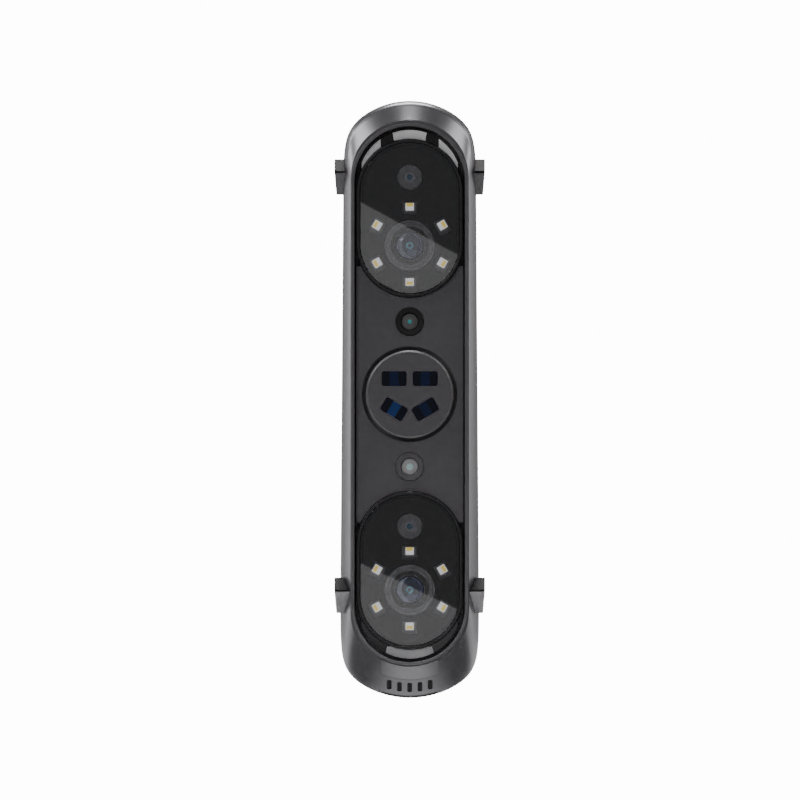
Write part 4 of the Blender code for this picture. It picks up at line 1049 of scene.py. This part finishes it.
# %% Keypad and keys
DISH = 0.28
KEYS = {"scan_button": (5.6, 0, 76, KEY_BLUE, "scan_key")}
for name, turn in (("right", 0), ("up", 90), ("left", 180), ("down", 270)):
    way = math.radians(turn)
    KEYS[f"{name}_key"] = (2.4, 5.1 * math.cos(way), 58.5 + 5.1 * math.sin(way), KEY_GREY, "keys")
pad = thick(disc(KEYPAD_R, steps=96, stretch=KEYPAD_Z), KEYPAD_D - 2.9, KEYPAD_D, 0)
pad = cut(pad, *[thick(disc(radius + 0.3, x, z, 64), 70, 90, 0) for radius, x, z, _, _ in KEYS.values()])
settle(soften(pad, 0.2, 2, 60, only_rims=True), "pad_of_keys", MASK_BLACK, ["keypad_frame"])
for name, (radius, x, z, colour, slot) in KEYS.items():
    inner = KEYPAD_D - 2.9 - GAP
    outer = KEYPAD_D + 0.9
    rise = [(radius * share, outer - DISH + DISH * min(share / 0.8, 1) ** 2)
            for share in (0.8, 0.6, 0.4, 0.2)]
    key = turned([(0, inner - 0.7), (radius + 0.8, inner - 0.7), (radius + 0.8, inner), (radius, inner),
                  (radius, outer - 0.35), (radius - 0.1, outer - 0.1), (radius - 0.35, outer), *rise,
                  (0, outer - DISH)], 64, at=(x, z))
    settle(key, f"cap_{name}", colour, [name], body=name)

# %% [markdown]
# ## Screws and the tripod thread
# The case screws have a hexagon socket, and the brass insert in the butt of the grip has a thread.
# A real thread is a helix, but rings at the thread's pitch look the same from outside and stay
# closed solids.

# %% Screws
for i in range(1, 5):
    low, high = span(f"case_screw_{i}")
    way = 1 if low.x > 0 else -1
    face = high.x if way > 0 else -low.x
    screw = turned([(0, -face + 0.0), (2.2, -face + 0.0), (2.5, -face + 0.25), (2.5, -face + 1.1),
                    (1.2, -face + 1.1), (1.2, -face + 9.0), (1.0, -face + 9.1), (0, -face + 9.1)], 48)
    socket = bmesh.new()
    bmesh.ops.create_circle(socket, cap_ends=True, segments=6, radius=1.25)
    bmesh.ops.transform(socket, verts=socket.verts, matrix=FACE_ON)
    screw = cut(screw, thick(socket, -face - 1, -face + 0.8, 0))
    bmesh.ops.rotate(screw, verts=screw.verts, matrix=Matrix.Rotation(math.radians(90 * way), 3, "Z"))
    bmesh.ops.translate(screw, verts=screw.verts, vec=(0, (low.y + high.y) / 2, (low.z + high.z) / 2))
    settle(screw, f"screw_{i}", STEEL, [f"case_screw_{i}"])

# %% Tripod insert
thread = []
for i in range(6):
    height = nut_low.z + 0.6 + i * 1.27
    thread += [(3.3, height), (3.75, height + 0.6)]
insert = upright([(0, nut_high.z), (5.2, nut_high.z), (5.5, nut_high.z - 0.3), (5.5, nut_low.z + 0.3),
                  (5.2, nut_low.z), (3.6, nut_low.z), *thread, (3.3, nut_low.z + 8.4),
                  (0, nut_low.z + 8.4)], nut_d)
settle(insert, "thread_insert", BRASS, ["tripod_insert"])

# %% [markdown]
# ## Inner parts
# The chassis, boards, laser modules and fan show only through gaps and vents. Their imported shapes
# are right, so they stay, and only get their finishes.

# %% Finishes of the inner parts
INNER = {"chassis": ALLOY, "laser_block": ALLOY, "main_board": BOARD, "keypad_board": BOARD,
         "fan_frame": DEEP_BLACK, "fan_rotor": KEY_GREY, "cable_socket": STEEL}
INNER.update({name: BRASS for name in nodes if name.endswith("laser_module")})
for name, material in INNER.items():
    for place in nodes[name].material_slots:
        place.material = material
print("inner parts:", len(INNER))

# %% [markdown]
# ## Stage, lights and camera
# The studio is a pale floor under a white surround. Two tall soft boxes stand high beside the
# scanner and draw bright lines down its flanks, one above lights the head, one in front fills the
# face, and three light the back. A narrow spot brightens the floor in front of the chin. Polished
# metal would mirror a white floor up to the horizon, so the floor and the surround show one
# brightness to the camera and a darker one in reflections, where only a patch near the scanner
# glows. Small cards hung in front of the windows are what the flat glass mirrors: their slanted
# edges make the diagonal gleam that tells glass from plastic.

# %% Floor and surround
SURROUND, POOL_GLOW, WHITE, WORLD_LIGHT = 0.18, 1.0, 14, 0.06
floor_work = bmesh.new()
bmesh.ops.create_grid(floor_work, x_segments=1, y_segments=1, size=6)
bmesh.ops.translate(floor_work, verts=floor_work.verts, vec=(0, 0, cad_low.z - 0.0005))
floor = put_in_scene("floor", as_mesh(floor_work, "floor"))
floor_paint = finish("pale_floor", (0.6, 0.6, 0.6), 0.9, grain=30, bump=0.0, drift=0.01)
tree = floor_paint.node_tree
seen = tree.nodes.new("ShaderNodeLightPath")
where = tree.nodes.new("ShaderNodeTexCoord")
axes = tree.nodes.new("ShaderNodeSeparateXYZ")
tree.links.new(where.outputs["Object"], axes.inputs["Vector"])


def ramp(value, low, high, at_low, at_high):
    """A level that eases from one value to another while a measure goes from low to high."""
    node = tree.nodes.new("ShaderNodeMapRange")
    node.interpolation_type = "SMOOTHSTEP"
    for name, number in (("From Min", low), ("From Max", high), ("To Min", at_low), ("To Max", at_high)):
        node.inputs[name].default_value = number
    tree.links.new(value, node.inputs["Value"])
    return node.outputs["Result"]


def both_of(operation, first, second=None):
    node = tree.nodes.new("ShaderNodeMath")
    node.operation = operation
    tree.links.new(first, node.inputs[0])
    if second is not None:
        tree.links.new(second, node.inputs[1])
    return node.outputs["Value"]


aside = both_of("ABSOLUTE", axes.outputs["X"])
strip = ramp(aside, 0.004, 0.03, POOL_GLOW, SURROUND)
behind = ramp(axes.outputs["Y"], -0.03, 0.04, SURROUND, POOL_GLOW)
near = ramp(aside, 0.15, 0.5, POOL_GLOW, SURROUND)
glow = both_of("MINIMUM", both_of("MAXIMUM", strip, behind), near)
ahead = ramp(axes.outputs["Y"], -0.15, -0.08, SURROUND, POOL_GLOW)
mirrored = tree.nodes.new("ShaderNodeEmission")
tree.links.new(both_of("MINIMUM", glow, ahead), mirrored.inputs["Strength"])
bright = tree.nodes.new("ShaderNodeEmission")
bright.inputs["Strength"].default_value = WHITE
shine = mixed_shader(tree, seen.outputs["Is Glossy Ray"], tree.nodes["Principled BSDF"].outputs["BSDF"],
                     mirrored.outputs["Emission"])
both = mixed_shader(tree, seen.outputs["Is Camera Ray"], shine, bright.outputs["Emission"])
tree.links.new(both, tree.nodes["Material Output"].inputs["Surface"])
floor.data.materials.append(floor_paint)
print("floor at z", round(cad_low.z - 0.0005, 4))

world = bpy.data.worlds.new("studio")
world.use_nodes = True
bpy.context.scene.world = world
tree = world.node_tree
seen = tree.nodes.new("ShaderNodeLightPath")
around = tree.nodes["Background"]
around.inputs["Color"].default_value = (1, 1, 1, 1)
plain = tree.nodes.new("ShaderNodeBackground")
plain.inputs["Color"].default_value = (1, 1, 1, 1)
plain.inputs["Strength"].default_value = WHITE
shine = tree.nodes.new("ShaderNodeMapRange")
shine.inputs["To Min"].default_value = WORLD_LIGHT
shine.inputs["To Max"].default_value = SURROUND
tree.links.new(seen.outputs["Is Glossy Ray"], shine.inputs["Value"])
tree.links.new(shine.outputs["Result"], around.inputs["Strength"])
both = mixed_shader(tree, seen.outputs["Is Camera Ray"], around.outputs["Background"],
                    plain.outputs["Background"])
tree.links.new(both, tree.nodes["World Output"].inputs["Surface"])

# %% Lights
centre = (cad_low + cad_high) / 2


def soft_box(name, at, size, power, aim=None, roll=0.0):
    """An area light that faces a point, turned about the line to it."""
    light = bpy.data.lights.new(name, "AREA")
    light.shape = "RECTANGLE"
    light.size, light.size_y = size
    light.energy = power
    made = put_in_scene(name, light)
    made.visible_camera = False
    towards = (Vector(aim) if aim else centre) - Vector(at)
    made.location = at
    made.rotation_euler = (towards.to_track_quat("-Z", "Y").to_matrix().to_4x4()
                           @ Matrix.Rotation(math.radians(roll), 4, "Z")).to_euler()
    return made


soft_box("left_shoulder", (-0.86, -0.05, 0.6), (0.5, 0.75), 6.5)
soft_box("right_shoulder", (0.86, -0.05, 0.6), (0.5, 0.75), 5.2)
soft_box("top_strip", (0, -0.15, 1.0), (0.14, 0.6), 1.0)
soft_box("back_top", (0, 0.8, 0.9), (0.4, 0.3), 6)
soft_box("front_fill", (-1.0, -1.4, 0.9), (0.6, 0.6), 9)
soft_box("back_left", (-0.8, 0.75, 0.1), (0.3, 1.0), 4.5)
soft_box("back_right", (0.8, 0.75, 0.1), (0.3, 1.0), 3.2)
pool = bpy.data.lights.new("pool_under_chin", "SPOT")
pool.energy = 70
pool.spot_size = math.radians(9)
pool.spot_blend = 1.0
pool.shadow_soft_size = 0.02
pool_at = put_in_scene("pool_under_chin", pool)
pool_at.location = (0, -0.13, 0.85)
pool_way = Vector((0, -0.1, cad_low.z)) - pool_at.location
pool_at.rotation_euler = pool_way.to_track_quat("-Z", "Y").to_euler()
pool_at.visible_camera = False
print("lights:", len(bpy.data.lights))

# %% Camera
camera_data = bpy.data.cameras.new("camera")
camera_data.lens = 1154
camera_data.sensor_width = 36
camera = put_in_scene("camera", camera_data)
CAMERA_AWAY, CAMERA_RISE, CAMERA_SHIFT = 12, 0.3, (-0.012125, -0.007125)
aim = Vector((0, face_y, middle_z))
rise = math.radians(CAMERA_RISE)
camera.location = aim + Vector((0, -CAMERA_AWAY * math.cos(rise), CAMERA_AWAY * math.sin(rise)))
camera.rotation_euler = (aim - camera.location).to_track_quat("-Z", "Y").to_euler()
camera_data.shift_x, camera_data.shift_y = CAMERA_SHIFT
bpy.context.scene.camera = camera


# %% [markdown]
# The window glass is flat and faces forwards, so it mirrors what lies straight ahead of it. A card
# hung a little way in front shows in the glass at nearly its own height and width: only the small
# part of the way that the card is nearer than the camera has to be allowed for.

# %% Cards for the window glass
CARD_AWAY = 0.9


def card(name, left, right, drop, power):
    """A card whose upper edge the glass shows from this height on its left to that on its right."""
    eye = camera.location
    share = CARD_AWAY / CAMERA_AWAY
    half = 0.0235

    def mirrored(x, z):
        z = z * MM + middle_z
        return Vector((x + (x - eye.x) * share, face_y - CARD_AWAY, z + (z - eye.z) * share))

    spare = 0.15 * (left - right)
    ends = [mirrored(-1.3 * half, left + spare), mirrored(1.3 * half, right - spare)]
    along = (ends[1] - ends[0]).normalized()
    down = Vector((along.z, 0, -along.x))
    made = soft_box(name, (0, 0, 0), ((ends[1] - ends[0]).length, drop), power, aim=(0, 1, 0))
    made.location = (ends[0] + ends[1]) / 2 + down * drop / 2
    made.rotation_euler = (Matrix.Rotation(-math.atan2(along.z, along.x), 4, "Y")
                           @ made.rotation_euler.to_matrix().to_4x4()).to_euler()


card("upper_card", 90, 65, 0.031, 0.005)
card("lower_card", -79, -101, 0.03, 0.005)
